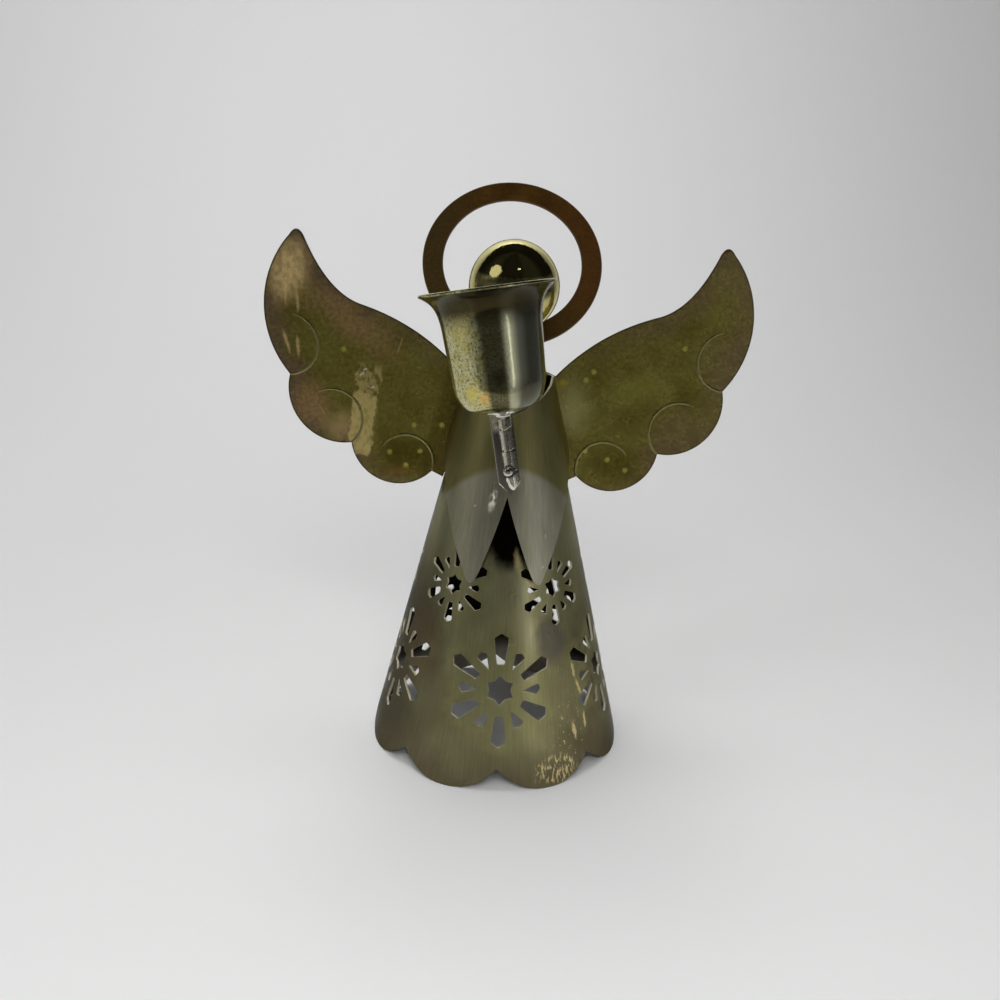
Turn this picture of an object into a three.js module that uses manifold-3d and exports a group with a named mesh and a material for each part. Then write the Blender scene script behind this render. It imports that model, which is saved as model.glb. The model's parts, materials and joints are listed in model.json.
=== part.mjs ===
// Angel candle holder of thin plated sheet: a pierced cone skirt with a scalloped hem,
// a pointed mantle, wings, a halo, a ball head and a bell cup on a riveted arm.
// Millimetres, +Z up, the front looks along -Y.
import * as THREE from 'three';
import { mergeVertices } from 'three/addons/utils/BufferGeometryUtils.js';
import Module from 'manifold-3d';

const wasm = await Module();
wasm.setup();

// Sheet, and the gaps between pieces
const SHEET = 0.6;
const SEAT = 0.2;
const FIT = 0.15;
const ROLL_GAP = 0.35;

// Skirt
const HEM_RADIUS = 36.5;
const SKIRT_HEIGHT = 117.5;
const NECK_RADIUS = 6.9;
const SCALLOPS = 8;
const SCALLOP_DEPTH = 5.9;
const HEM_FLAT = 3.2;
const SKIRT_STEPS = 36;
const LAP_WIDTH = 5;

// Pierced snowflakes: a lower row of large ones, an upper row of small ones
const FLAKE_PITCH = THREE.MathUtils.degToRad(68);
const LOWER_FLAKES = 5;
const UPPER_FLAKES = 4;
const LOWER_FLAKE_RADIUS = 15;
const LOWER_FLAKE_HEIGHT = 25.7;
const UPPER_FLAKE_RADIUS = 10.3;
const UPPER_FLAKE_HEIGHT = 51;

// Mantle below the neck, with a V neck and two long sleeve ends; lengths count down from its top
const MANTLE_DROP = 12.5;
const MANTLE_TOP_GAP = 1.35;
const MANTLE_TIP_GAP = 2.05;
const MANTLE_BACK_LENGTH = 19;
const NECK_DIP = 10;
const NECK_CORNER = THREE.MathUtils.degToRad(75);
const NOTCH_LENGTH = 29.7;
const SLEEVE_LENGTH = 51.8;
const SLEEVE_ANGLE = THREE.MathUtils.degToRad(20.5);
const SLEEVE_END = THREE.MathUtils.degToRad(4.2);
const SLEEVE_ROUND = 2.2;
const SLEEVE_SIDE = THREE.MathUtils.degToRad(92);

// Wings: heights count from the mantle's top, feather lines go on from the notches
const UPPER_LOBE_CENTRE = new THREE.Vector2(40.8, 15);
const UPPER_LOBE_RADIUS = 29.05;
const MIDDLE_LOBE_CENTRE = new THREE.Vector2(47.9, -7.8);
const MIDDLE_LOBE_RADIUS = 15.55;
const LOWER_LOBE_CENTRE = new THREE.Vector2(31.65, -21.2);
const LOWER_LOBE_RADIUS = 13.9;
const WING_INNER = new THREE.Vector2(21.6, -30.9);
const WING_ROOT = new THREE.Vector2(13.7, -1.4);
const WING_RISE_BEND = new THREE.Vector2(25.3, 11.5);
const WING_CREST = new THREE.Vector2(42.4, 16.5);
const WING_TIP_BEND = new THREE.Vector2(52, 19.3);
const WING_TIP_BACK = new THREE.Vector2(58.5, 34.5);
const WING_TIP = new THREE.Vector2(60.3, 37.7);
const WING_TIP_FRONT = new THREE.Vector2(62.4, 34.4);
const ARCH_FOOT = new THREE.Vector2(18.3, -32.5);
const ARCH_BEND = new THREE.Vector2(11, -12);
const ARCH_SHOULDER = 0.7;
const UPPER_FEATHER = new THREE.Vector2(63.3, 4.7);
const MIDDLE_FEATHER = new THREE.Vector2(50.9, -16.4);
const LOWER_FEATHER = new THREE.Vector2(29.3, -28.3);
const FEATHER_SWEEP = THREE.MathUtils.degToRad(168);
const FEATHER_LINE = 0.7;
const FEATHER_RISE = 0.25;
const WEB_TOP = 1.2;
const WEB_BOTTOM = -2.8;
const TONGUE_WIDTH = 9;

// Halo
const HALO_RADIUS = 26.1;
const HALO_BAND = 5.9;
const HALO_LEAN = THREE.MathUtils.degToRad(27);
const STEM_RISE = 6.35;
const STEM_WIDTH = 7;

// Head, held down on the neck by a screw through a plate inside the skirt
const HEAD_RADIUS = 12.15;
const SCREW_RADIUS = 2;
const SCREW_HEAD_RADIUS = 3.6;
const SCREW_HEAD_HEIGHT = 2.4;
const SCREW_DEPTH = 9;
const PLATE_RADIUS = 8;
const PLATE_THICKNESS = 1.2;

// Candle cup for a 22 mm taper candle, its rim clear of the head
const CANDLE_RADIUS = 11;
const CUP_WALL = 0.7;
const CUP_HEIGHT = 28;
const CUP_RIM_RADIUS = 16.1;
const CUP_FLARE = 9;
const CUP_TAPER = 0.7;
const CUP_CORNER = 6;
const CUP_FLOOR_RADIUS = 7.3;
const CUP_CLEARANCE = 2.75;

// Arm that carries the cup, turned on one rivet below the mantle's top; it stands leaning to one side
const ARM_SHEET = 0.8;
const ARM_WIDTH = 5.8;
const ARM_POINT = 3.4;
const ARM_FOOT = 6;
const ARM_RISE = 18.5;
const SPINE_RADIUS = 1.8;
const SPINE_OFFSET = 0.7;
const BEADS = 3;
const PIVOT_DROP = 23.3;
const ARM_LEAN = THREE.MathUtils.degToRad(10);
const TAB_RADIUS = 4;

// Rivets: a small one at the pivot, larger ones elsewhere
const PIVOT_RADIUS = 0.8;
const PIVOT_HEAD = 1.4;
const RIVET_RADIUS = 1.2;
const RIVET_HEAD = 1.9;
const RIVET_RISE = 0.9;
const WING_RIVET_DROPS = [6.5, 13.5];
const SPACER_RADIUS = 2.4;

// Worked out from the above
const SLOPE = (HEM_RADIUS - NECK_RADIUS) / SKIRT_HEIGHT;
const SLANT = Math.atan(SLOPE);
const MANTLE_TOP = SKIRT_HEIGHT - MANTLE_DROP;
const MANTLE_SLOPE = SLOPE + (MANTLE_TIP_GAP - MANTLE_TOP_GAP) / SLEEVE_LENGTH;
const MANTLE_SLANT = Math.atan(MANTLE_SLOPE);
const HALF_SCALLOP = HEM_RADIUS * Math.PI / SCALLOPS;
const SCALLOP_RADIUS = (HALF_SCALLOP ** 2 + SCALLOP_DEPTH ** 2) / (2 * SCALLOP_DEPTH);
const MANTLE_TOP_RADIUS = skirtRadius(MANTLE_TOP) + MANTLE_TOP_GAP + SHEET;
const HEAD_HEIGHT = SKIRT_HEIGHT + Math.sqrt(HEAD_RADIUS ** 2 - (NECK_RADIUS - SHEET) ** 2) + SEAT;
const PIVOT_HEIGHT = MANTLE_TOP - PIVOT_DROP;
const PIVOT = new THREE.Vector3(0, -mantleRadius(PIVOT_HEIGHT), PIVOT_HEIGHT);
const PIVOT_AXIS = new THREE.Vector3(0, -Math.cos(MANTLE_SLANT), Math.sin(MANTLE_SLANT));
const CUP_FLOOR_HEIGHT = PIVOT_HEIGHT + ARM_RISE;
const CUP_REACH = HEAD_RADIUS + CUP_CLEARANCE + CUP_RIM_RADIUS;
const WING_RIVET_HEIGHTS = WING_RIVET_DROPS.map((drop) => MANTLE_TOP - drop);

function skirtRadius(height) {
  return HEM_RADIUS - SLOPE * height;
}

function mantleRadius(height) {
  return MANTLE_TOP_RADIUS + MANTLE_SLOPE * (MANTLE_TOP - height);
}

// Closed solids in and out of the boolean kernel
function solid(geometry) {
  const bare = geometry.index ? geometry.toNonIndexed() : geometry;
  bare.deleteAttribute('normal');
  bare.deleteAttribute('uv');
  const joined = mergeVertices(bare, 1e-4);
  const mesh = new wasm.Mesh({
    numProp: 3,
    vertProperties: new Float32Array(joined.attributes.position.array),
    triVerts: new Uint32Array(joined.index.array),
  });
  return new wasm.Manifold(mesh);
}

function surface(body) {
  const mesh = body.getMesh();
  const geometry = new THREE.BufferGeometry();
  geometry.setAttribute('position', new THREE.BufferAttribute(mesh.vertProperties, 3));
  geometry.setIndex(new THREE.BufferAttribute(mesh.triVerts, 1));
  return geometry;
}

// Flat sheet cut to an outline, lying on z = 0 and rising to its thickness
function plate(outline, thickness) {
  return new THREE.ExtrudeGeometry(outline, { depth: thickness, bevelEnabled: false, curveSegments: 12 });
}

// Turned piece: a profile of (radius, height) points that starts and ends on the axis or closes
function turned(profile, steps = 32) {
  const geometry = new THREE.LatheGeometry(profile, steps);
  return geometry.rotateX(Math.PI / 2);
}

function rod(radius, from, to, steps = 20) {
  const profile = [[0, from], [radius, from], [radius, to], [0, to]];
  return turned(profile.map(([r, h]) => new THREE.Vector2(r, h)), steps);
}

// Moves a piece drawn along +Z so that +Z becomes the given direction at a point
function along(geometry, point, direction) {
  const turn = new THREE.Quaternion().setFromUnitVectors(new THREE.Vector3(0, 0, 1), direction);
  return geometry.applyQuaternion(turn).translate(point.x, point.y, point.z);
}

// Sheet rolled into a cone round the axis; its edges follow the angle from the front
function rolled(angles, radiusAt, lowAt, highAt, thickness, open = false) {
  const points = [];
  for (const angle of angles) {
    const low = lowAt(angle);
    const high = highAt(angle);
    for (const [height, depth] of [[low, 0], [high, 0], [high, thickness], [low, thickness]]) {
      const radius = radiusAt(height) - depth;
      points.push(radius * Math.sin(angle), -radius * Math.cos(angle), height);
    }
  }
  const faces = [];
  const columns = open ? angles.length - 1 : angles.length;
  for (let column = 0; column < columns; column += 1) {
    const here = column * 4;
    const next = ((column + 1) % angles.length) * 4;
    for (let side = 0; side < 4; side += 1) {
      const after = (side + 1) % 4;
      faces.push(here + side, next + side, here + after);
      faces.push(here + after, next + side, next + after);
    }
  }
  if (open) {
    const last = columns * 4;
    faces.push(0, 1, 2, 0, 2, 3);
    faces.push(last, last + 2, last + 1, last, last + 3, last + 2);
  }
  const geometry = new THREE.BufferGeometry();
  geometry.setAttribute('position', new THREE.Float32BufferAttribute(points, 3));
  geometry.setIndex(faces);
  return geometry;
}

function stepsBetween(from, to, count, withEnd) {
  const total = withEnd ? count + 1 : count;
  return Array.from({ length: total }, (_, step) => from + (to - from) * step / count);
}

// Gap between two scallops of the hem, drawn flat: its sides are the round ends of both
function hemGap() {
  const rise = (x) => SCALLOP_RADIUS - Math.sqrt(SCALLOP_RADIUS ** 2 - x ** 2);
  const side = stepsBetween(HEM_FLAT / 2, HALF_SCALLOP, 6, true).map((x) => {
    return new THREE.Vector2(HALF_SCALLOP - x, rise(x) - rise(HEM_FLAT / 2));
  });
  const other = side.slice(0, -1).reverse().map((point) => new THREE.Vector2(-point.x, point.y));
  const end = new THREE.Vector2(-HALF_SCALLOP, -1);
  return new THREE.Shape([...side, ...other, end, new THREE.Vector2(HALF_SCALLOP, -1)]);
}

// One snowflake: a star, six long petals and six short ones
function flakeShapes(radius) {
  const long = [[-0.068, 0.45], [0.068, 0.45], [0.132, 0.915], [0, 1], [-0.132, 0.915]];
  const short = [[0, 0.4], [0.1, 0.685], [0, 0.745], [-0.1, 0.685]];
  const shapes = [];
  for (let petal = 0; petal < 12; petal += 1) {
    const turn = petal * Math.PI / 6;
    const outline = petal % 2 ? short : long;
    const corners = outline.map(([x, y]) => new THREE.Vector2(x, y).multiplyScalar(radius));
    shapes.push(new THREE.Shape(corners.map((corner) => corner.rotateAround(new THREE.Vector2(), turn))));
  }
  const star = stepsBetween(0, 2 * Math.PI, 12, false).map((turn, corner) => {
    const reach = (corner % 2 ? 0.185 : 0.27) * radius;
    return new THREE.Vector2(-reach * Math.sin(turn), reach * Math.cos(turn));
  });
  shapes.push(new THREE.Shape(star));
  return shapes;
}

// Whole cone up to its point, smaller by an inset and reaching a little below the ground
function fullCone(inset, below) {
  const radius = skirtRadius(-below) - inset;
  const height = radius / SLOPE;
  const cone = new THREE.ConeGeometry(radius, height, SKIRT_STEPS);
  return solid(cone.rotateX(Math.PI / 2).translate(0, 0, height / 2 - below));
}

// Place on the skirt of a point of the flat pattern: x runs round the cone, y up its side
function onSkirt(point, angle, height) {
  const level = height + point.y * Math.cos(SLANT);
  const turn = angle + point.x / skirtRadius(level);
  return new THREE.Vector3(Math.sin(turn), -Math.cos(turn), 0).multiplyScalar(skirtRadius(level)).setZ(level);
}

// Punch for flat shapes laid on the cone at an angle and a height; each goes straight through
function punch(shapes, angle, height) {
  const tools = shapes.map((shape) => {
    const tool = plate(shape, 1);
    const corners = tool.attributes.position;
    const middle = new THREE.Box2().setFromPoints(shape.getPoints()).getCenter(new THREE.Vector2());
    const through = onSkirt(middle, angle, height).setZ(0).normalize();
    for (let corner = 0; corner < corners.count; corner += 1) {
      const flat = new THREE.Vector2(corners.getX(corner), corners.getY(corner));
      const reach = corners.getZ(corner) > 0.5 ? 3 : -3;
      const place = onSkirt(flat, angle, height).addScaledVector(through, reach);
      corners.setXYZ(corner, place.x, place.y, place.z);
    }
    return solid(tool);
  });
  return tools.reduce((all, tool) => all.add(tool));
}

// Points and direction of the two rivets at the back
const BACK_AXIS = new THREE.Vector3(0, Math.cos(MANTLE_SLANT), Math.sin(MANTLE_SLANT));
const BACK_POINTS = WING_RIVET_HEIGHTS.map((height) => new THREE.Vector3(0, mantleRadius(height), height));

function backHole(point, from, to) {
  return solid(along(rod(RIVET_RADIUS + FIT, from, to), point, BACK_AXIS));
}

// Clear depth between mantle and skirt at a rivet
function depthToSkirt(point) {
  return (mantleRadius(point.z) - SHEET - skirtRadius(point.z)) * Math.cos(SLANT);
}

// Places of a row of snowflakes round the skirt, the same on both sides of the front
function flakeTurns(count) {
  return Array.from({ length: count }, (_, place) => (place - (count - 1) / 2) * FLAKE_PITCH);
}

function makeSkirt() {
  const above = new THREE.BoxGeometry(HEM_RADIUS, HEM_RADIUS, SKIRT_HEIGHT);
  let body = fullCone(0, 0).subtract(fullCone(SHEET, 1));
  body = body.subtract(solid(above.translate(0, 0, SKIRT_HEIGHT * 1.5)));
  const lap = LAP_WIDTH / HEM_RADIUS;
  const lapAngles = [Math.PI, Math.PI + lap];
  const lapRadius = (height) => skirtRadius(height) + SHEET;
  const lapTop = () => MANTLE_TOP - MANTLE_BACK_LENGTH - SHEET;
  body = body.add(solid(rolled(lapAngles, lapRadius, () => 0, lapTop, SHEET * 1.5, true)));
  for (let gap = 0; gap < SCALLOPS; gap += 1) {
    body = body.subtract(punch([hemGap()], gap * 2 * Math.PI / SCALLOPS, 0));
  }
  for (const turn of flakeTurns(LOWER_FLAKES)) {
    body = body.subtract(punch(flakeShapes(LOWER_FLAKE_RADIUS), turn, LOWER_FLAKE_HEIGHT));
  }
  for (const turn of flakeTurns(UPPER_FLAKES)) {
    body = body.subtract(punch(flakeShapes(UPPER_FLAKE_RADIUS), turn, UPPER_FLAKE_HEIGHT));
  }
  for (const point of BACK_POINTS) {
    body = body.subtract(backHole(point, -6, 0));
  }
  return surface(body);
}

// Angle from the front, the same on both sides
function awayFromFront(angle) {
  return Math.abs(Math.PI - Math.abs(angle - Math.PI));
}

// Lower edge of the mantle: a notch in front, two sleeves with round ends, then up to the back
function mantleLow(angle) {
  const away = awayFromFront(angle);
  const fromEnd = (away - SLEEVE_ANGLE) / SLEEVE_END;
  const sideLength = SLEEVE_LENGTH - SLEEVE_ROUND;
  if (Math.abs(fromEnd) < 1) {
    return MANTLE_TOP - SLEEVE_LENGTH + SLEEVE_ROUND * fromEnd ** 2;
  }
  if (fromEnd < 0) {
    return MANTLE_TOP - THREE.MathUtils.lerp(NOTCH_LENGTH, sideLength, away / (SLEEVE_ANGLE - SLEEVE_END));
  }
  const start = SLEEVE_ANGLE + SLEEVE_END;
  const part = Math.min(1, (away - start) / (SLEEVE_SIDE - start));
  return MANTLE_TOP - THREE.MathUtils.lerp(sideLength, MANTLE_BACK_LENGTH, Math.sin(part * Math.PI / 2));
}

function mantleHigh(angle) {
  return MANTLE_TOP - NECK_DIP * Math.max(0, 1 - awayFromFront(angle) / NECK_CORNER);
}

// Closer columns where the edges turn, with one on each sleeve tip and neck corner
function mantleAngles() {
  const half = [
    ...stepsBetween(0, SLEEVE_ANGLE - SLEEVE_END, 5, false),
    ...stepsBetween(SLEEVE_ANGLE - SLEEVE_END, SLEEVE_ANGLE + SLEEVE_END, 8, false),
    ...stepsBetween(SLEEVE_ANGLE + SLEEVE_END, NECK_CORNER, 16, false),
    ...stepsBetween(NECK_CORNER, SLEEVE_SIDE, 5, false),
    ...stepsBetween(SLEEVE_SIDE, Math.PI, 10, false),
  ];
  const other = half.slice(1).reverse().map((angle) => 2 * Math.PI - angle);
  return [...half, Math.PI, ...other];
}

function makeMantle() {
  let body = solid(rolled(mantleAngles(), mantleRadius, mantleLow, mantleHigh, SHEET));
  for (const point of BACK_POINTS) {
    body = body.subtract(backHole(point, -2, 1));
  }
  const pivotHole = along(rod(PIVOT_RADIUS + FIT, -2, 1), PIVOT, PIVOT_AXIS);
  return surface(body.subtract(solid(pivotHole)));
}

// Sheets at the back lie one on another, each drawn flat and tilted to the mantle's slope
function onBack(geometry, layer) {
  const top = new THREE.Vector3(0, MANTLE_TOP_RADIUS, MANTLE_TOP);
  const out = top.addScaledVector(BACK_AXIS, layer);
  return geometry.rotateX(Math.PI / 2 + MANTLE_SLANT).translate(0, out.y, out.z);
}

// Point where two wing lobes cross, on the outer side
function lobeNotch(first, second) {
  const across = second.centre.clone().sub(first.centre);
  const gap = across.length();
  const share = (first.radius ** 2 - second.radius ** 2 + gap ** 2) / (2 * gap);
  const side = Math.sqrt(first.radius ** 2 - share ** 2);
  const ahead = across.normalize();
  const outward = new THREE.Vector2(-ahead.y, ahead.x);
  return first.centre.clone().addScaledVector(ahead, share).addScaledVector(outward, side);
}

function lobeAngle(lobe, point) {
  return Math.atan2(point.y - lobe.centre.y, point.x - lobe.centre.x);
}

function addArc(path, lobe, from, to) {
  path.absarc(lobe.centre.x, lobe.centre.y, lobe.radius, lobeAngle(lobe, from), lobeAngle(lobe, to), true);
}

const UPPER_LOBE = { centre: UPPER_LOBE_CENTRE, radius: UPPER_LOBE_RADIUS };
const MIDDLE_LOBE = { centre: MIDDLE_LOBE_CENTRE, radius: MIDDLE_LOBE_RADIUS };
const LOWER_LOBE = { centre: LOWER_LOBE_CENTRE, radius: LOWER_LOBE_RADIUS };
const UPPER_NOTCH = lobeNotch(UPPER_LOBE, MIDDLE_LOBE);
const LOWER_NOTCH = lobeNotch(MIDDLE_LOBE, LOWER_LOBE);
const FEATHERS = [
  { notch: UPPER_NOTCH, centre: UPPER_FEATHER },
  { notch: LOWER_NOTCH, centre: MIDDLE_FEATHER },
  { notch: WING_INNER, centre: LOWER_FEATHER },
];

// Both wings in one sheet, joined by a narrow web behind the neck
function wingOutline() {
  const half = new THREE.Path();
  half.moveTo(0, WEB_TOP);
  half.quadraticCurveTo(TONGUE_WIDTH, WEB_TOP, WING_ROOT.x, WING_ROOT.y);
  half.quadraticCurveTo(WING_RISE_BEND.x, WING_RISE_BEND.y, WING_CREST.x, WING_CREST.y);
  half.quadraticCurveTo(WING_TIP_BEND.x, WING_TIP_BEND.y, WING_TIP_BACK.x, WING_TIP_BACK.y);
  half.quadraticCurveTo(WING_TIP.x, WING_TIP.y, WING_TIP_FRONT.x, WING_TIP_FRONT.y);
  addArc(half, UPPER_LOBE, WING_TIP_FRONT, UPPER_NOTCH);
  addArc(half, MIDDLE_LOBE, UPPER_NOTCH, LOWER_NOTCH);
  addArc(half, LOWER_LOBE, LOWER_NOTCH, WING_INNER);
  half.lineTo(ARCH_FOOT.x, ARCH_FOOT.y);
  half.quadraticCurveTo(ARCH_BEND.x, ARCH_BEND.y, TONGUE_WIDTH / 2 + ARCH_SHOULDER, WEB_BOTTOM);
  half.lineTo(0, WEB_BOTTOM);
  const right = half.getPoints(9);
  const left = right.slice(1, -1).reverse().map((point) => new THREE.Vector2(-point.x, point.y));
  return new THREE.Shape([...right, ...left]);
}

// Raised feather line: an arc that goes on from a notch into the wing
function featherLine(notch, centre, side) {
  const radius = notch.distanceTo(centre);
  const start = Math.atan2(notch.y - centre.y, notch.x - centre.x);
  const end = start - FEATHER_SWEEP;
  const turn = (angle) => (side > 0 ? angle : Math.PI - angle);
  const line = new THREE.Shape();
  line.absarc(side * centre.x, centre.y, radius + FEATHER_LINE / 2, turn(start), turn(end), side > 0);
  line.absarc(side * centre.x, centre.y, radius - FEATHER_LINE / 2, turn(end), turn(start), side < 0);
  const raised = new THREE.ExtrudeGeometry(line, {
    depth: SHEET / 2 + FEATHER_RISE, bevelEnabled: false, curveSegments: 8,
  });
  return solid(raised.translate(0, 0, SHEET / 2));
}

// Upright wing sheet with a tongue bent to the slope of the mantle's back
function makeWings() {
  const layer = 2 * SEAT + 2 * SHEET;
  const bend = MANTLE_TOP + WEB_BOTTOM;
  const depth = mantleRadius(bend) + layer / Math.cos(MANTLE_SLANT);
  let sheet = solid(plate(wingOutline(), SHEET));
  for (const { notch, centre } of FEATHERS) {
    for (const side of [-1, 1]) {
      sheet = sheet.add(featherLine(notch, centre, side));
    }
  }
  const half = TONGUE_WIDTH / 2;
  const bottom = (WING_RIVET_HEIGHTS[1] - MANTLE_TOP) / Math.cos(MANTLE_SLANT);
  const strip = new THREE.Shape();
  strip.moveTo(half, WEB_BOTTOM + 1);
  strip.lineTo(-half, WEB_BOTTOM + 1);
  strip.absarc(0, bottom, half, Math.PI, 2 * Math.PI, false);
  const tongue = solid(onBack(plate(strip, SHEET), layer));
  let body = solid(surface(sheet).rotateX(Math.PI / 2).translate(0, depth, MANTLE_TOP)).add(tongue);
  for (const point of BACK_POINTS) {
    body = body.subtract(backHole(point, -1, 5));
  }
  return surface(body);
}

// Ring leaning back, on a stem that lies flat against the mantle under the wings
function makeHalo() {
  const ring = new THREE.Shape();
  ring.absarc(0, 0, HALO_RADIUS, 0, 2 * Math.PI);
  const hole = new THREE.Path();
  hole.absarc(0, 0, HALO_RADIUS - HALO_BAND, 0, 2 * Math.PI, true);
  ring.holes.push(hole);
  const band = new THREE.ExtrudeGeometry(ring, { depth: SHEET, bevelEnabled: false, curveSegments: 24 });
  const centre = MANTLE_TOP + STEM_RISE + HALO_RADIUS * Math.cos(HALO_LEAN);
  const stemTop = MANTLE_TOP_RADIUS - MANTLE_SLOPE * STEM_RISE + SEAT + SHEET;
  const depth = stemTop + HALO_RADIUS * Math.sin(HALO_LEAN);
  band.rotateX(Math.PI / 2 - HALO_LEAN).translate(0, depth, centre);
  const reach = STEM_RISE / Math.cos(MANTLE_SLANT) + HALO_BAND / 4;
  const bottom = (WING_RIVET_HEIGHTS[1] - MANTLE_TOP) / Math.cos(MANTLE_SLANT) - STEM_WIDTH / 2;
  const half = STEM_WIDTH / 2;
  const strip = new THREE.Shape();
  strip.moveTo(half, reach);
  strip.lineTo(-half, reach);
  strip.lineTo(-half, bottom);
  strip.absarc(0, bottom, half, Math.PI, 2 * Math.PI, false);
  const stem = onBack(plate(strip, SHEET), SEAT + SHEET);
  let body = solid(band).add(solid(stem));
  for (const point of BACK_POINTS) {
    body = body.subtract(backHole(point, -1, 3));
  }
  return surface(body);
}

// Ball with a blind screw hole in its underside
function makeHead() {
  const hole = SCREW_RADIUS + FIT;
  const floor = -Math.sqrt(HEAD_RADIUS ** 2 - hole ** 2);
  const profile = [new THREE.Vector2(0, floor + SCREW_DEPTH), new THREE.Vector2(hole, floor + SCREW_DEPTH)];
  const start = Math.asin(hole / HEAD_RADIUS);
  for (const turn of stepsBetween(start, Math.PI, 14, true)) {
    const radius = turn === Math.PI ? 0 : HEAD_RADIUS * Math.sin(turn);
    profile.push(new THREE.Vector2(radius, -HEAD_RADIUS * Math.cos(turn)));
  }
  return turned(profile, 28).translate(0, 0, HEAD_HEIGHT);
}

// Plate that wedges in the neck from inside
const PLATE_HEIGHT = (HEM_RADIUS - SHEET / Math.cos(SLANT) - SEAT - PLATE_RADIUS) / SLOPE - PLATE_THICKNESS;

function makeNeckPlate() {
  const hole = SCREW_RADIUS + FIT;
  const outer = PLATE_RADIUS + SLOPE * PLATE_THICKNESS;
  const profile = [[hole, 0], [outer, 0], [PLATE_RADIUS, PLATE_THICKNESS], [hole, PLATE_THICKNESS], [hole, 0]];
  return turned(profile.map(([r, h]) => new THREE.Vector2(r, h)), 24).translate(0, 0, PLATE_HEIGHT);
}

function makeScrew() {
  const seat = PLATE_HEIGHT - SEAT;
  const end = HEAD_HEIGHT - HEAD_RADIUS + SCREW_DEPTH - 1;
  const slot = new THREE.BoxGeometry(0.9, 3 * SCREW_HEAD_RADIUS, 1.6);
  const profile = new THREE.Path();
  profile.moveTo(0, seat - SCREW_HEAD_HEIGHT);
  profile.lineTo(SCREW_HEAD_RADIUS * 0.6, seat - SCREW_HEAD_HEIGHT);
  profile.quadraticCurveTo(SCREW_HEAD_RADIUS, seat - SCREW_HEAD_HEIGHT, SCREW_HEAD_RADIUS, seat - 1);
  profile.lineTo(SCREW_HEAD_RADIUS, seat);
  profile.lineTo(SCREW_RADIUS, seat);
  profile.lineTo(SCREW_RADIUS, end - 0.6);
  profile.lineTo(SCREW_RADIUS - 0.6, end);
  profile.lineTo(0, end);
  const body = solid(turned(profile.getPoints(4), 16));
  return surface(body.subtract(solid(slot.translate(0, 0, seat - SCREW_HEAD_HEIGHT))));
}

// Everything on the arm leans with it about the pivot rivet
function leaning(geometry) {
  const turn = new THREE.Quaternion().setFromAxisAngle(PIVOT_AXIS, ARM_LEAN);
  geometry.translate(-PIVOT.x, -PIVOT.y, -PIVOT.z).applyQuaternion(turn);
  return geometry.translate(PIVOT.x, PIVOT.y, PIVOT.z);
}

// Bell cup: a straight, slightly tapered wall, a round bottom corner and a wide flared rim
function makeCup() {
  const outer = CANDLE_RADIUS + CUP_WALL;
  const hole = RIVET_RADIUS + FIT;
  const wall = new THREE.Path();
  wall.moveTo(hole, 0);
  wall.lineTo(CUP_FLOOR_RADIUS, 0);
  wall.quadraticCurveTo(outer - 2 * CUP_TAPER, CUP_CORNER / 6, outer - CUP_TAPER, CUP_CORNER);
  wall.lineTo(outer, CUP_HEIGHT - CUP_FLARE);
  wall.bezierCurveTo(outer + CUP_WALL / 2, CUP_HEIGHT - CUP_FLARE * 0.44,
    CUP_RIM_RADIUS - CUP_FLARE / 3, CUP_HEIGHT - CUP_FLARE * 0.27,
    CUP_RIM_RADIUS, CUP_HEIGHT - CUP_WALL);
  wall.lineTo(CUP_RIM_RADIUS - CUP_WALL / 3, CUP_HEIGHT);
  wall.bezierCurveTo(CUP_RIM_RADIUS - CUP_FLARE * 0.4, CUP_HEIGHT - CUP_FLARE * 0.18,
    CANDLE_RADIUS + CUP_WALL / 2, CUP_HEIGHT - CUP_FLARE * 0.4,
    CANDLE_RADIUS, CUP_HEIGHT - CUP_FLARE);
  wall.lineTo(CANDLE_RADIUS - CUP_TAPER, CUP_CORNER);
  wall.quadraticCurveTo(CANDLE_RADIUS - 2 * CUP_TAPER, CUP_WALL + CUP_CORNER / 10,
    CUP_FLOOR_RADIUS - CUP_WALL / 2, CUP_WALL);
  wall.lineTo(hole, CUP_WALL);
  wall.lineTo(hole, 0);
  return leaning(turned(wall.getPoints(5), 28).translate(0, -CUP_REACH, CUP_FLOOR_HEIGHT));
}

// Spine of the arm: a row of beads above the pivot and a pointed one below, drawn along +Y
function beadedSpine(rise) {
  const length = rise / BEADS;
  const neck = SPINE_RADIUS * 0.72;
  const spine = new THREE.Path();
  spine.moveTo(0, SHEET - ARM_FOOT);
  spine.quadraticCurveTo(SPINE_RADIUS * 0.9, -ARM_FOOT / 2, SPINE_RADIUS, -length * 0.15);
  spine.lineTo(neck, 0);
  for (let bead = 0; bead < BEADS; bead += 1) {
    spine.lineTo(SPINE_RADIUS * 0.9, bead * length + length * 0.06);
    spine.lineTo(SPINE_RADIUS, bead * length + length * 0.75);
    spine.lineTo(SPINE_RADIUS * 0.9, bead * length + length * 0.93);
    spine.lineTo(neck, (bead + 1) * length);
  }
  spine.lineTo(0, rise);
  const body = solid(new THREE.LatheGeometry(spine.getPoints(4), 20));
  const behind = new THREE.BoxGeometry(2 * ARM_WIDTH, 3 * rise, 4 * SPINE_RADIUS);
  const front = body.subtract(solid(behind.translate(0, 0, -2 * SPINE_RADIUS + ARM_SHEET / 2)));
  return solid(surface(front).translate(SPINE_OFFSET, 0, 0));
}

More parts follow.
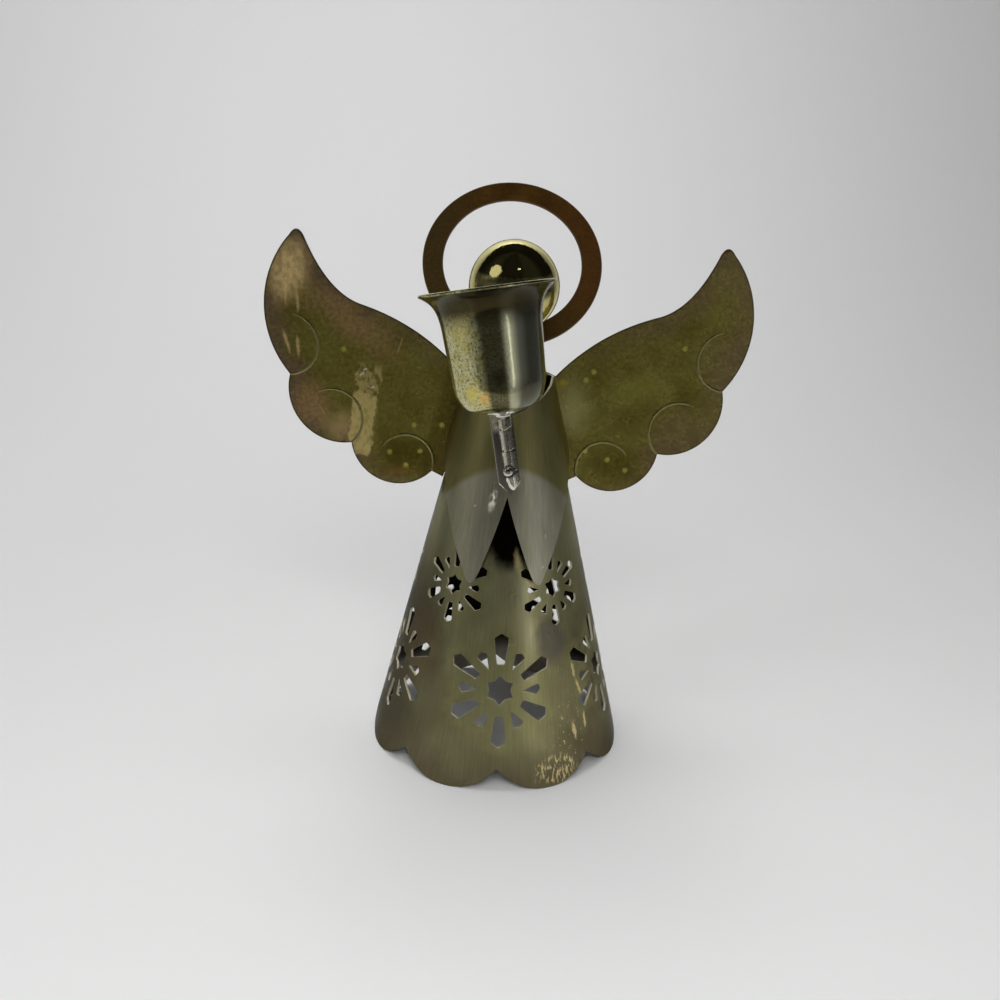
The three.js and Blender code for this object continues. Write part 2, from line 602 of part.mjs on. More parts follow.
// Arm: a pointed strip with a beaded spine, bent forward into a round tab under the cup
function makeArm() {
  const half = ARM_WIDTH / 2;
  const tabTop = CUP_FLOOR_HEIGHT - SEAT;
  const rise = (tabTop - PIVOT_HEIGHT) / Math.cos(MANTLE_SLANT) - ARM_SHEET;
  const headTop = 2 * SPINE_RADIUS;
  const strip = new THREE.Shape();
  strip.moveTo(half, rise);
  strip.lineTo(-half, rise);
  strip.lineTo(-half, ARM_POINT - ARM_FOOT);
  strip.lineTo(0, -ARM_FOOT);
  strip.lineTo(half, ARM_POINT - ARM_FOOT);
  let flat = solid(plate(strip, ARM_SHEET)).add(beadedSpine(rise));
  flat = flat.subtract(solid(rod(PIVOT_RADIUS + FIT, -ARM_SHEET, 2 * ARM_SHEET)));
  flat = flat.subtract(solid(rod(PIVOT_HEAD + SEAT, ARM_SHEET, headTop)));
  const lift = PIVOT.clone().addScaledVector(PIVOT_AXIS, SEAT);
  const upright = surface(flat).rotateX(Math.PI / 2 - MANTLE_SLANT).translate(lift.x, lift.y, lift.z);
  const bend = -mantleRadius(tabTop) + 0.3;
  const tab = new THREE.Shape();
  tab.moveTo(-half, bend);
  tab.lineTo(-half, -CUP_REACH);
  tab.absarc(0, -CUP_REACH, TAB_RADIUS, Math.PI, 2 * Math.PI, false);
  tab.lineTo(half, bend);
  const hole = new THREE.Path();
  hole.absarc(0, -CUP_REACH, RIVET_RADIUS + FIT, 0, 2 * Math.PI, true);
  tab.holes.push(hole);
  const shelf = plate(tab, ARM_SHEET).translate(0, 0, tabTop - ARM_SHEET);
  return leaning(surface(solid(upright).add(solid(shelf))));
}

// Rivet drawn along +Z: a domed head on top, a shank, and a spread end below
function rivet(gripBottom, gripTop, shank = RIVET_RADIUS, head = RIVET_HEAD) {
  const profile = new THREE.Path();
  profile.moveTo(0, gripBottom - RIVET_RISE);
  profile.lineTo(head * 0.8, gripBottom - RIVET_RISE);
  profile.lineTo(head, gripBottom - RIVET_RISE / 2);
  profile.lineTo(head, gripBottom);
  profile.lineTo(shank, gripBottom);
  profile.lineTo(shank, gripTop);
  profile.lineTo(head, gripTop);
  profile.quadraticCurveTo(head * 0.9, gripTop + RIVET_RISE, 0, gripTop + RIVET_RISE);
  return turned(profile.getPoints(3), 14);
}

function makePivotRivet() {
  const top = SEAT + ARM_SHEET + SEAT;
  return along(rivet(-SHEET - SEAT, top, PIVOT_RADIUS, PIVOT_HEAD), PIVOT, PIVOT_AXIS);
}

function makeCupRivet() {
  const bottom = CUP_FLOOR_HEIGHT - SEAT - ARM_SHEET - SEAT;
  const top = CUP_FLOOR_HEIGHT + CUP_WALL + SEAT;
  return leaning(rivet(bottom, top).translate(0, -CUP_REACH, 0));
}

function makeWingRivet(point) {
  const bottom = -SHEET - depthToSkirt(point) - SHEET - ROLL_GAP;
  const top = 3 * SEAT + 2 * SHEET;
  return along(rivet(bottom, top), point, BACK_AXIS);
}

// Washer on each back rivet that keeps the mantle off the skirt
function makeSpacer(point) {
  const low = -SHEET - depthToSkirt(point) + SEAT;
  const high = -SHEET - ROLL_GAP;
  const hole = RIVET_RADIUS + FIT;
  const profile = [[hole, low], [SPACER_RADIUS, low], [SPACER_RADIUS, high], [hole, high], [hole, low]];
  return along(turned(profile.map(([r, h]) => new THREE.Vector2(r, h)), 16), point, BACK_AXIS);
}

const angel = new THREE.Group();
angel.name = 'angel_candle_holder';

function addPiece(name, geometry, color, roughness, metalness = 1) {
  const material = new THREE.MeshStandardMaterial({ color, roughness, metalness });
  const mesh = new THREE.Mesh(geometry, material);
  mesh.name = name;
  angel.add(mesh);
}

addPiece('skirt', makeSkirt(), 0x8f8a70, 0.42);
addPiece('mantle', makeMantle(), 0x9a9a92, 0.38);
addPiece('wings', makeWings(), 0x6f6840, 0.45);
addPiece('halo', makeHalo(), 0x5e4426, 0.4);
addPiece('head', makeHead(), 0xd9c27a, 0.08);
addPiece('neck_plate', makeNeckPlate(), 0x8c8578, 0.5);
addPiece('neck_screw', makeScrew(), 0x8a8a8a, 0.4);
addPiece('candle_cup', makeCup(), 0xb5b0a0, 0.22);
addPiece('cup_arm', makeArm(), 0xc2c2bc, 0.22);
addPiece('cup_rivet', makeCupRivet(), 0xc2c2bc, 0.25);
addPiece('pivot_rivet', makePivotRivet(), 0xcacac4, 0.2);
BACK_POINTS.forEach((point, place) => {
  const where = place === 0 ? 'upper' : 'lower';
  addPiece(`${where}_wing_rivet`, makeWingRivet(point), 0xb8b4a4, 0.3);
  addPiece(`${where}_spacer`, makeSpacer(point), 0x9c968a, 0.45);
});

// The origin is the middle of the ground the part covers
const box = new THREE.Box3().setFromObject(angel, true);
for (const mesh of angel.children) {
  mesh.geometry.translate(0, -(box.min.y + box.max.y) / 2, 0);
}

export default angel;
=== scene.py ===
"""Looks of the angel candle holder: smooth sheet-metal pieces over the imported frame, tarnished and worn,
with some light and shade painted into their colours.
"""

import json
import math

import bmesh
import bpy
import numpy as np
from mathutils import Matrix, Vector
from mathutils.geometry import delaunay_2d_cdt, interpolate_bezier

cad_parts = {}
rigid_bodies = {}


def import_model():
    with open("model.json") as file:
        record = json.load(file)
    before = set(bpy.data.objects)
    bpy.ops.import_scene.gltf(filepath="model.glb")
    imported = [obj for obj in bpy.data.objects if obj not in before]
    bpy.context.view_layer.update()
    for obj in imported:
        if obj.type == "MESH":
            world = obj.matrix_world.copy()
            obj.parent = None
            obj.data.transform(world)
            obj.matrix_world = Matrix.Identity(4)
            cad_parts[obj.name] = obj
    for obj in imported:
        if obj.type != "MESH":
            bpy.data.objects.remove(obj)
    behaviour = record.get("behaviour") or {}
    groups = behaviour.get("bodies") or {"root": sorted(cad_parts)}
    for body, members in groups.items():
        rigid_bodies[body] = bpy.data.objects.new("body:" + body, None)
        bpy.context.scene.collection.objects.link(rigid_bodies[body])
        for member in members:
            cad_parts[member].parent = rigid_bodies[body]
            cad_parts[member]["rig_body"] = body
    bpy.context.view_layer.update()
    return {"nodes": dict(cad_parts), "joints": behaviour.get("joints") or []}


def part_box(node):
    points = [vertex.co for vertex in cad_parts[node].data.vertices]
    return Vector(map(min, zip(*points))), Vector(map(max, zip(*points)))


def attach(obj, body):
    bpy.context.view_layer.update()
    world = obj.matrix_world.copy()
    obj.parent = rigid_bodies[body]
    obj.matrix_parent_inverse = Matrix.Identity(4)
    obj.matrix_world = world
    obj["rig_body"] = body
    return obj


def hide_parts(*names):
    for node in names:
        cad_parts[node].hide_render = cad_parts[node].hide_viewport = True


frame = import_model()

# Sizes in millimetres, as in the CAD source; places come from the frame
MM = 0.001
SHEET = 0.6
SEAT = 0.2

# Skirt; a row of snowflakes is its count, the flake's radius and the height of its middle
HEM_RADIUS = 36.5
NECK_RADIUS = 6.9
SCALLOPS = 8
SCALLOP_DEPTH = 5.9
HEM_FLAT = 3.2
LAP_WIDTH = 5.0
LAP_STEP = 0.68
LAP_EASE = math.radians(9)
LAP_FADE = 9.0
FLAKE_PITCH = math.radians(68)
FLAKE_ROWS = ((5, 15.0, 25.7), (4, 10.3, 51.0))
CORNER_ROUND = 0.36

# Cut-outs of a snowflake as shares of its radius
LONG_PETAL = ((-0.068, 0.45), (0.068, 0.45), (0.132, 0.915), (0.0, 1.0), (-0.132, 0.915))
SHORT_PETAL = ((0.0, 0.4), (0.1, 0.685), (0.0, 0.745), (-0.1, 0.685))
STAR_TIP = 0.27
STAR_DENT = 0.185

# Mantle
MANTLE_TOP_GAP = 1.35
MANTLE_TIP_GAP = 2.05
MANTLE_BACK_LENGTH = 19.0
NECK_DIP = 10.0
NECK_CORNER = math.radians(75)
NOTCH_LENGTH = 29.7
SLEEVE_LENGTH = 51.8
SLEEVE_ANGLE = math.radians(20.5)
SLEEVE_END = math.radians(4.2)
SLEEVE_ROUND = 2.2
SLEEVE_SIDE = math.radians(92)

# Wings: each lobe is a centre and a radius, heights count from the mantle's top
UPPER_LOBE = ((40.8, 15.0), 29.05)
MIDDLE_LOBE = ((47.9, -7.8), 15.55)
LOWER_LOBE = ((31.65, -21.2), 13.9)
WING_INNER = (21.6, -30.9)
WING_ROOT = (13.7, -1.4)
WING_RISE_BEND = (25.3, 11.5)
WING_CREST = (42.4, 16.5)
WING_TIP_BEND = (52.0, 19.3)
WING_TIP_BACK = (58.5, 34.5)
WING_TIP = (60.3, 37.7)
WING_TIP_FRONT = (62.4, 34.4)
ARCH_FOOT = (18.3, -32.5)
ARCH_BEND = (11.0, -12.0)
FEATHER_CENTRES = ((63.3, 4.7), (50.9, -16.4), (29.3, -28.3))
FEATHER_SWEEP = math.radians(168)
FEATHER_WIDTH = 0.8
FEATHER_RISE = 0.22
WEB_TOP = 1.2
WEB_BOTTOM = -2.8
TONGUE_WIDTH = 9.0
TONGUE_CORNER = ((0.7, 0.0), (0.0, 0.2), (0.0, -0.8))
TONGUE_MARGIN = 0.8
WING_RIVET_DROPS = (6.5, 13.5)

# Halo
HALO_BAND = 5.9
HALO_LEAN = math.radians(27)
STEM_RISE = 6.35
STEM_WIDTH = 7.0
FOLD_RADIUS = 1.2

# Ball
HEAD_RADIUS = 12.15
SCREW_HOLE = 2.15
SCREW_DEPTH = 9.0

# Candle cup; the flare's handles are shares of its height below the rim
CANDLE_RADIUS = 11.0
CUP_WALL = 0.7
CUP_HEIGHT = 28.0
CUP_RIM_RADIUS = 16.1
CUP_FLARE = 9.0
FLARE_OUTSIDE = (0.44, 0.27)
FLARE_INSIDE = (0.18, 0.4)
CUP_TAPER = 0.7
CUP_CORNER = 6.0
CUP_FLOOR_RADIUS = 7.3
CUP_CLEARANCE = 2.75
LIP_RADIUS = 0.42

# Arm
ARM_SHEET = 0.8
ARM_WIDTH = 5.8
ARM_POINT = 3.4
ARM_FOOT = 6.0
ARM_RISE = 18.5
ARM_LEAN = math.radians(10)
ARM_CHAMFER = 0.12
BEND_RADIUS = 1.6
TAB_RADIUS = 4.0
SPINE_RADIUS = 1.8
SPINE_OFFSET = 0.7
SPINE_FADE = (3.2, 1.8)
BEADS = 3
BEAD_SWELL = 0.08
GROOVE_DEPTH = 0.28

# Rivets
PIVOT_SHANK = 0.8
PIVOT_HEAD = 1.4
RIVET_SHANK = 1.2
RIVET_HEAD = 1.9
RIVET_RISE = 0.9
RIVET_SLACK = 0.35
HOLE_GAP = 0.15

# Pattern coordinates: one radian of turn is this long on a cone's flat pattern
ROUND = 25.0
PATTERN = "pattern"

# Mesh: edges sharper than this stay sharp, and a point away from all cut edges counts as this far
SHARP = math.radians(32)
FAR = 9.0
TINY = 1e-6
BALL_STEPS = 128
RIVET_STEPS = 40

# Places worked out from the frame
low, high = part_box("head")
AXIS_Y = (low.y + high.y) / 2 / MM
SKIRT_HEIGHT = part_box("skirt")[1].z / MM
MANTLE_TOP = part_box("mantle")[1].z / MM
HALO_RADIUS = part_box("halo")[1].x / MM
SLOPE = (HEM_RADIUS - NECK_RADIUS) / SKIRT_HEIGHT
SLANT = math.atan(SLOPE)
MANTLE_SLOPE = SLOPE + (MANTLE_TIP_GAP - MANTLE_TOP_GAP) / SLEEVE_LENGTH
MANTLE_SLANT = math.atan(MANTLE_SLOPE)
MANTLE_TOP_RADIUS = HEM_RADIUS - SLOPE * MANTLE_TOP + MANTLE_TOP_GAP + SHEET
HALF_SCALLOP = HEM_RADIUS * math.pi / SCALLOPS
SCALLOP_RADIUS = (HALF_SCALLOP ** 2 + SCALLOP_DEPTH ** 2) / (2 * SCALLOP_DEPTH)
LAP_TOP = MANTLE_TOP - MANTLE_BACK_LENGTH - SHEET
joint = frame["joints"][0]
PIVOT = Vector(joint["pos_m"]) / MM
PIVOT_AXIS = Vector(joint["axis"]).normalized()
BACK_AXIS = Vector((0, math.cos(MANTLE_SLANT), math.sin(MANTLE_SLANT)))
BACK_UP = Vector((0, -math.sin(MANTLE_SLANT), math.cos(MANTLE_SLANT)))
BACK_TOP = Vector((0, AXIS_Y + MANTLE_TOP_RADIUS, MANTLE_TOP))
CUP_FLOOR = PIVOT.z + ARM_RISE
CUP_REACH = HEAD_RADIUS + CUP_CLEARANCE + CUP_RIM_RADIUS
HEAD_HEIGHT = SKIRT_HEIGHT + math.sqrt(HEAD_RADIUS ** 2 - (NECK_RADIUS - SHEET) ** 2) + SEAT
LEAN = Matrix.Translation(PIVOT) @ Matrix.Rotation(ARM_LEAN, 4, PIVOT_AXIS) @ Matrix.Translation(-PIVOT)
CUP_PLACE = LEAN @ Matrix.Translation((0, AXIS_Y - CUP_REACH, CUP_FLOOR))


def skirt_radius(height):
    return HEM_RADIUS - SLOPE * height


def mantle_radius(height):
    return MANTLE_TOP_RADIUS + MANTLE_SLOPE * (MANTLE_TOP - height)


def ease(value, start, end):
    """0 before start, 1 after end, smooth between."""
    share = min(1.0, max(0.0, (value - start) / (end - start)))
    return share * share * (3 - 2 * share)


def spread(start, end, count):
    return [start + (end - start) * step / count for step in range(count + 1)]


# Outlines

def bend(start, middle, end, count=16):
    """Points of a quadratic curve without its start."""
    a, b, c = Vector(start), Vector(middle), Vector(end)
    return [tuple(a.lerp(b, t).lerp(b.lerp(c, t), t)) for t in spread(0, 1, count)[1:]]


def curve_points(start, first, second, end, count=14):
    """Points of a cubic curve without its start."""
    flat = [Vector((x, y, 0)) for x, y in (start, first, second, end)]
    return [(point.x, point.y) for point in interpolate_bezier(*flat, count)[1:]]


def arc(centre, radius, start, end, count):
    """Points of an arc with both its ends, angles in radians."""
    x, y = centre
    return [(x + radius * math.cos(a), y + radius * math.sin(a)) for a in spread(start, end, count)]


def rounded(corners, size):
    """Polygon with each corner replaced by a small curve."""
    made = []
    points = [Vector(corner) for corner in corners]
    for index, corner in enumerate(points):
        before = points[index - 1] - corner
        after = points[(index + 1) % len(points)] - corner
        start = corner + before.normalized() * min(size, before.length / 3)
        end = corner + after.normalized() * min(size, after.length / 3)
        made.append(tuple(start))
        made += bend(start, corner, end, 3)
    return made


def inside(points, loop):
    """Which points lie within a closed loop."""
    x, y = points.T
    found = np.zeros(len(points), bool)
    for (ax, ay), (bx, by) in zip(loop, np.roll(loop, -1, axis=0)):
        if ay == by:
            continue
        spans = (ay > y) != (by > y)
        found ^= spans & (x < ax + (y - ay) * (bx - ax) / (by - ay))
    return found


def edge_distance(points, loops):
    """Distance of each point from the nearest cut edge of the pattern."""
    nearest = np.full(len(points), np.inf)
    for loop in loops:
        for start, end in zip(loop, np.roll(loop, -1, axis=0)):
            span = end - start
            share = np.clip((points - start) @ span / max(span @ span, TINY ** 2), 0, 1)
            gap = np.linalg.norm(points - start - share[:, None] * span, axis=1)
            nearest = np.minimum(nearest, gap)
    return nearest


def cut_sheet(outline, holes, step):
    """Flat pattern cut to an outline with holes: points, triangles and each point's distance from an edge."""
    loops = [np.array(loop, float) for loop in [outline, *holes]]
    points = []
    edges = []
    for loop in loops:
        first = len(points)
        points += [Vector(point) for point in loop]
        edges += [(first + i, first + (i + 1) % len(loop)) for i in range(len(loop))]
    start, end = loops[0].min(axis=0), loops[0].max(axis=0)
    columns = np.arange(start[0] + step[0] / 2, end[0], step[0])
    rows = np.arange(start[1] + step[1] / 2, end[1], step[1])
    grid = np.array([(x, y) for x in columns for y in rows])
    keep = inside(grid, loops[0]) & (edge_distance(grid, loops) > min(step) / 3)
    points += [Vector(point) for point in grid[keep]]
    made, _, faces, *_ = delaunay_2d_cdt(points, edges, [], 1, TINY)
    flat = np.array(made, float)
    faces = np.array(faces)
    middles = flat[faces].mean(axis=1)
    shown = inside(middles, loops[0])
    for loop in loops[1:]:
        shown &= ~inside(middles, loop)
    used, faces = np.unique(faces[shown], return_inverse=True)
    flat = flat[used]
    return flat, faces.reshape(-1, 3), edge_distance(flat, loops)


# Meshes

def new_piece(name, node, slot, materials, points, faces, uvs, tags=None, normals=None, edge=None):
    """Mesh object in metres that stands for a CAD node and rides on its body."""
    mesh = bpy.data.meshes.new(name)
    mesh.from_pydata([tuple(Vector(point) * MM) for point in points], [], [tuple(face) for face in faces])
    mesh.uv_layers.new(name=PATTERN).data.foreach_set("uv", np.array(uvs, np.float32).ravel())
    for material in materials:
        mesh.materials.append(material)
    if tags is not None:
        mesh.polygons.foreach_set("material_index", tags)
    if edge is not None:
        mesh.attributes.new("edge", "FLOAT", "POINT").data.foreach_set("value", np.array(edge, np.float32))
    work = bmesh.new()
    work.from_mesh(mesh)
    if normals is None:
        bmesh.ops.recalc_face_normals(work, faces=work.faces)
    for face in work.faces:
        face.smooth = True
    for line in work.edges:
        line.smooth = line.calc_face_angle(0) < SHARP
    work.to_mesh(mesh)
    work.free()
    if normals is not None:
        mesh.normals_split_custom_set(normals)
    piece = bpy.data.objects.new(name, mesh)
    bpy.context.scene.collection.objects.link(piece)
    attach(piece, frame["nodes"][node]["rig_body"])
    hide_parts(node)
    return piece


def front_normal(place, u, v, step=0.02):
    along_u = place(u + step, v, 0.0) - place(u - step, v, 0.0)
    along_v = place(u, v + step, 0.0) - place(u, v - step, 0.0)
    return along_u.cross(along_v).normalized()


def shell(sheet, place):
    """Closed sheet from a flat pattern: points, faces, uvs, tags (0 front, 1 back, 2 cut edge), normals."""
    flat, faces, _ = sheet
    count = len(flat)
    points = [place(u, v, depth) for depth in (0.0, SHEET) for u, v in flat]
    fronts = [front_normal(place, u, v) for u, v in flat]
    sides = [side for a, b, c in faces for side in ((a, b), (b, c), (c, a))]
    known = set(sides)
    rim = [(a, b) for a, b in sides if (b, a) not in known]
    made = [tuple(face) for face in faces]
    made += [tuple(face[::-1] + count) for face in faces]
    made += [(b, a, a + count, b + count) for a, b in rim]
    uvs = [flat[i % count] for face in made for i in face]
    normals = [tuple(fronts[i]) for face in faces for i in face]
    normals += [tuple(-fronts[i]) for face in faces for i in face[::-1]]
    normals += [(0.0, 0.0, 0.0)] * (4 * len(rim))
    tags = [0] * len(faces) + [1] * len(faces) + [2] * len(rim)
    return points, made, uvs, tags, normals


def sheet_piece(name, node, materials, sheet, place, ridges=()):
    """Piece of sheet metal from a flat pattern; ridges (points and faces) are added with tag 3."""
    points, faces, uvs, tags, normals = shell(sheet, place)
    edge = [*sheet[2], *sheet[2]]
    for ridge_points, ridge_faces in ridges:
        first = len(points)
        points += ridge_points
        edge += [FAR] * len(ridge_points)
        tags += [3] * len(ridge_faces)
        for face in ridge_faces:
            faces.append(tuple(first + index for index in face))
            uvs += [(ridge_points[i].x, ridge_points[i].z - MANTLE_TOP) for i in face]
            normals += [(0.0, 0.0, 0.0)] * len(face)
    return new_piece(name, node, node, materials, points, faces, uvs, tags, normals, edge)


def turned(profile, steps, matrix):
    """Turned body from (radius, height) points, closed or with both ends on the axis."""
    closed = profile[0] == profile[-1]
    rings = profile[:-1] if closed else profile
    lengths = np.concatenate([[0], np.cumsum(np.linalg.norm(np.diff(np.array(profile), axis=0), axis=1))])
    points = []
    starts = []
    for radius, height in rings:
        starts.append(len(points))
        turns = [0.0] if radius < TINY else spread(-math.pi, math.pi, steps)[:-1]
        points += [matrix @ Vector((radius * math.sin(t), -radius * math.cos(t), height)) for t in turns]
    faces = []
    uvs = []
    for ring in range(len(profile) - 1):
        following = (ring + 1) % len(rings)
        for step in range(steps):
            corners = []
            for which, at in ((ring, step), (ring, step + 1), (following, step + 1), (following, step)):
                single = rings[which][0] < TINY
                index = starts[which] + (0 if single else at % steps)
                level = lengths[ring] if which == ring else lengths[ring + 1]
                if index not in [corner[0] for corner in corners]:
                    corners.append((index, ((at / steps - 0.5) * 2 * math.pi * ROUND, level)))
            if len(corners) > 2:
                faces.append(tuple(index for index, _ in corners))
                uvs += [uv for _, uv in corners]
    return points, faces, uvs


def lofted(sections):
    """Closed body through sections with the same number of points, capped at both ends."""
    count = len(sections[0])
    points = [point for section in sections for point in section]
    faces = []
    uvs = []
    for row in range(len(sections) - 1):
        first = row * count
        for column in range(count):
            after = (column + 1) % count
            faces.append((first + column, first + after, first + count + after, first + count + column))
            uvs += [(column, row), (column + 1, row), (column + 1, row + 1), (column, row + 1)]
    last = (len(sections) - 1) * count
    faces.append(tuple(range(count - 1, -1, -1)))
    faces.append(tuple(range(last, last + count)))
    uvs += [(column, row) for row in (0, len(sections)) for column in range(count)]
    return points, faces, uvs


# Finishes

def feed_socket(tree, socket, value):
    """Links another node's output to a socket, or sets the socket to a plain value."""
    if isinstance(value, bpy.types.NodeSocket):
        tree.links.new(value, socket)
    elif socket.type == "RGBA":
        socket.default_value = (*value, 1.0)
    else:
        socket.default_value = value


def add_node(tree, kind, inputs=None, **settings):
    made = tree.nodes.new(kind)
    for key, value in settings.items():
        setattr(made, key, value)
    for socket, value in (inputs or {}).items():
        feed_socket(tree, made.inputs[socket], value)
    return made


def ramp(tree, factor, steps):
    """Colour ramp through (place, colour) steps."""
    made = add_node(tree, "ShaderNodeValToRGB", {"Fac": factor})
    elements = made.color_ramp.elements
    while len(elements) < len(steps):
        elements.new(0.5)
    for element, (place, colour) in zip(elements, steps):
        element.position = place
        element.color = (*colour, 1.0)
    return made.outputs["Color"]


def between(start, end, width):
    """Centre, half sizes and turn in degrees of a strip from one place to another."""
    a, b = Vector(start), Vector(end)
    turn = math.degrees(math.atan2(b.y - a.y, b.x - a.x))
    return (a + b) / 2, ((b - a).length / 2, width / 2), turn


class Coat:
    """Metal finish built up step by step on the pattern's coordinates, in millimetres."""

    def __init__(self, name, glance=(1.0, 1.0, 1.0), metal=1.0):
        self.material = bpy.data.materials.new(name)
        self.material.use_nodes = True
        self.tree = self.material.node_tree
        self.feed("Metallic", metal)
        self.feed("Specular Tint", glance)
        self.uv = self.node("ShaderNodeUVMap", uv_map=PATTERN).outputs["UV"]
        self.x, self.y, _ = self.node("ShaderNodeSeparateXYZ", {0: self.uv}).outputs
        self.colour = None
        self.warps = {}

    def node(self, kind, inputs=None, **settings):
        return add_node(self.tree, kind, inputs, **settings)

    def feed(self, socket, value):
        """Sets one of the shader's own inputs."""
        feed_socket(self.tree, self.tree.nodes["Principled BSDF"].inputs[socket], value)

    def noise(self, size, stretch=1.0, detail=4.0, shift=0.0):
        """Noise with features of about size millimetres, drawn out along the height by stretch."""
        scale = (1 / size, 1 / size / stretch, 1)
        inputs = {"Vector": self.uv, "Scale": scale, "Location": (shift, shift, shift)}
        mapped = self.node("ShaderNodeMapping", inputs).outputs[0]
        inputs = {"Vector": mapped, "Scale": 1.0, "Detail": detail}
        return self.node("ShaderNodeTexNoise", inputs).outputs["Fac"]

    def maths(self, operation, first, second=0.0):
        return self.node("ShaderNodeMath", {0: first, 1: second}, operation=operation).outputs[0]

    def product(self, first, *others):
        for other in others:
            first = self.maths("MULTIPLY", first, other)
        return first

    def span(self, value, start, end, low=0.0, high=1.0):
        """Value mapped smoothly from start..end to low..high."""
        inputs = {"Value": value, "From Min": start, "From Max": end, "To Min": low, "To Max": high}
        return self.node("ShaderNodeMapRange", inputs, interpolation_type="SMOOTHSTEP").outputs["Result"]

    def fade(self, value, start, end):
        """Mask that is set before start and clear after end."""
        return self.span(value, start, end, 1.0, 0.0)

    def band(self, value, start, full, fading, end):
        """Mask that comes up from start to full and goes out from fading to end."""
        return self.product(self.span(value, start, full), self.fade(value, fading, end))

    def edge(self, start, end):
        """Mask along the cut edges that fades out between two distances."""
        return self.fade(self.node("ShaderNodeAttribute", attribute_name="edge").outputs["Fac"], start, end)

    def warped(self, amount):
        """Pattern coordinates pushed about by noise, for ragged borders."""
        if amount not in self.warps:
            size = 4 * amount
            inputs = {"Vector": self.uv, "Scale": 1 / size, "Detail": 4.0}
            push = self.node("ShaderNodeTexNoise", inputs).outputs["Color"]
            inputs = {0: push, 1: (0.5, 0.5, 0.5)}
            middle = self.node("ShaderNodeVectorMath", inputs, operation="SUBTRACT").outputs[0]
            inputs = {0: middle, 1: (size, size, 0), 2: self.uv}
            moved = self.node("ShaderNodeVectorMath", inputs, operation="MULTIPLY_ADD")
            self.warps[amount] = moved.outputs[0]
        return self.warps[amount]

    def around(self, centre, size, turn, ragged):
        """Coordinates about a place, 1 at half its sizes; its turn is in degrees."""
        inputs = {"Vector": self.warped(ragged) if ragged else self.uv, "Location": (*centre, 0),
                  "Rotation": (0, 0, math.radians(turn)), "Scale": (*size, 1)}
        return self.node("ShaderNodeMapping", inputs, vector_type="TEXTURE").outputs[0]

    def patch(self, centre, size, soft=0.5, ragged=0.0, turn=0.0):
        """Oval mask around a place: half sizes, share of its fade, ragged border and turn."""
        local = self.around(centre, size, turn, ragged)
        away = self.node("ShaderNodeVectorMath", {0: local}, operation="LENGTH").outputs["Value"]
        return self.fade(away, 1 - soft, 1.0)

    def streak(self, start, end, width, soft=0.6, ragged=0.0):
        """Thin oval mask between two places."""
        centre, size, turn = between(start, end, width)
        return self.patch(centre, size, soft, ragged, turn)

    def block(self, start, end, width, soft, ragged):
        """Straight-sided mask between two places."""
        local = self.around(*between(start, end, width), ragged)
        x, y, _ = self.node("ShaderNodeSeparateXYZ", {0: local}).outputs
        away = self.maths("MAXIMUM", self.maths("ABSOLUTE", x), self.maths("ABSOLUTE", y))
        return self.fade(away, 1 - soft, 1.0)

    def base(self, factor, low, middle, high):
        """Starts the colour with three tones over the middle of a noise's range."""
        self.colour = ramp(self.tree, factor, [(0.32, low), (0.5, middle), (0.68, high)])

    def tint(self, other, strength, *masks, mode="MIX"):
        """Lays another colour over the finish where all the masks are set."""
        shares = masks if masks and strength == 1.0 else (*masks, strength)
        inputs = {0: self.product(*shares), 6: self.colour, 7: other}
        self.colour = self.node("ShaderNodeMix", inputs, data_type="RGBA", blend_type=mode).outputs[2]

    def hairlines(self, size, stretch, depth):
        """Pale and dark lines along the height; gives their noise back."""
        lines = self.noise(size, stretch)
        self.tint(self.span(lines, 0.34, 0.66, 1 + depth, 1 - depth), 1.0, mode="MULTIPLY")
        return lines

    def grain(self, size, depth):
        """Fine uneven grain."""
        grains = self.noise(size, detail=8, shift=1.0)
        self.tint(self.span(grains, 0.35, 0.65, 1 - depth, 1 + depth), 1.0, mode="MULTIPLY")

    def matte(self, mask, share):
        """Makes the masked places dull, as by a deposit on the metal."""
        self.feed("Metallic", self.span(mask, 0.0, 1.0, 1.0, 1 - share))

    def gloss(self, size, low, high, stretch=1.0):
        """Uneven roughness between two values."""
        return self.span(self.noise(size, stretch, detail=5, shift=7.0), 0.3, 0.7, low, high)

    def done(self, roughness, bump=None, depth=0.0):
        """Ends the finish; a bump is a noise with the height of its relief in millimetres."""
        self.feed("Base Color", self.colour)
        self.feed("Roughness", roughness)
        if bump is not None:
            relief = self.node("ShaderNodeBump", {"Height": bump, "Distance": depth * MM, "Strength": 1.0})
            self.feed("Normal", relief.outputs["Normal"])
        return self.material


# Colours that several finishes share
WHITE_WORN = (0.95, 0.92, 0.8)
EDGE_BROWN = (0.07, 0.045, 0.025)
SHADE_BLACK = (0.007, 0.005, 0.002)
DULL_GLANCE = (0.5, 0.5, 0.5)

# Wing colours
OLIVE = (0.27, 0.225, 0.05)
OLIVE_DARK = (0.2, 0.16, 0.028)
OLIVE_GREEN = (0.3, 0.27, 0.06)
OLIVE_DEEP = (0.12, 0.09, 0.012)
OLIVE_PALE = (0.38, 0.31, 0.1)
PURPLE_BROWN = (0.27, 0.19, 0.105)
PINK_BROWN = (0.52, 0.33, 0.14)
COPPER = (0.4, 0.2, 0.05)
GOLD_WORN = (1.0, 0.73, 0.32)
PALE_WORN = (0.88, 0.71, 0.27)
GREEN_SPOT_AND_SHEEN = (0.75, 0.72, 0.15)
ROOT_REFLECTION_GREEN = (0.66, 0.63, 0.26)
ROOT_YELLOW = (0.7, 0.55, 0.08)
BACK_DARK = (0.1, 0.084, 0.026)
BACK_OLIVE = (0.14, 0.118, 0.036)
BACK_GREEN = (0.165, 0.145, 0.048)
BACK_BROWN = (0.125, 0.09, 0.058)
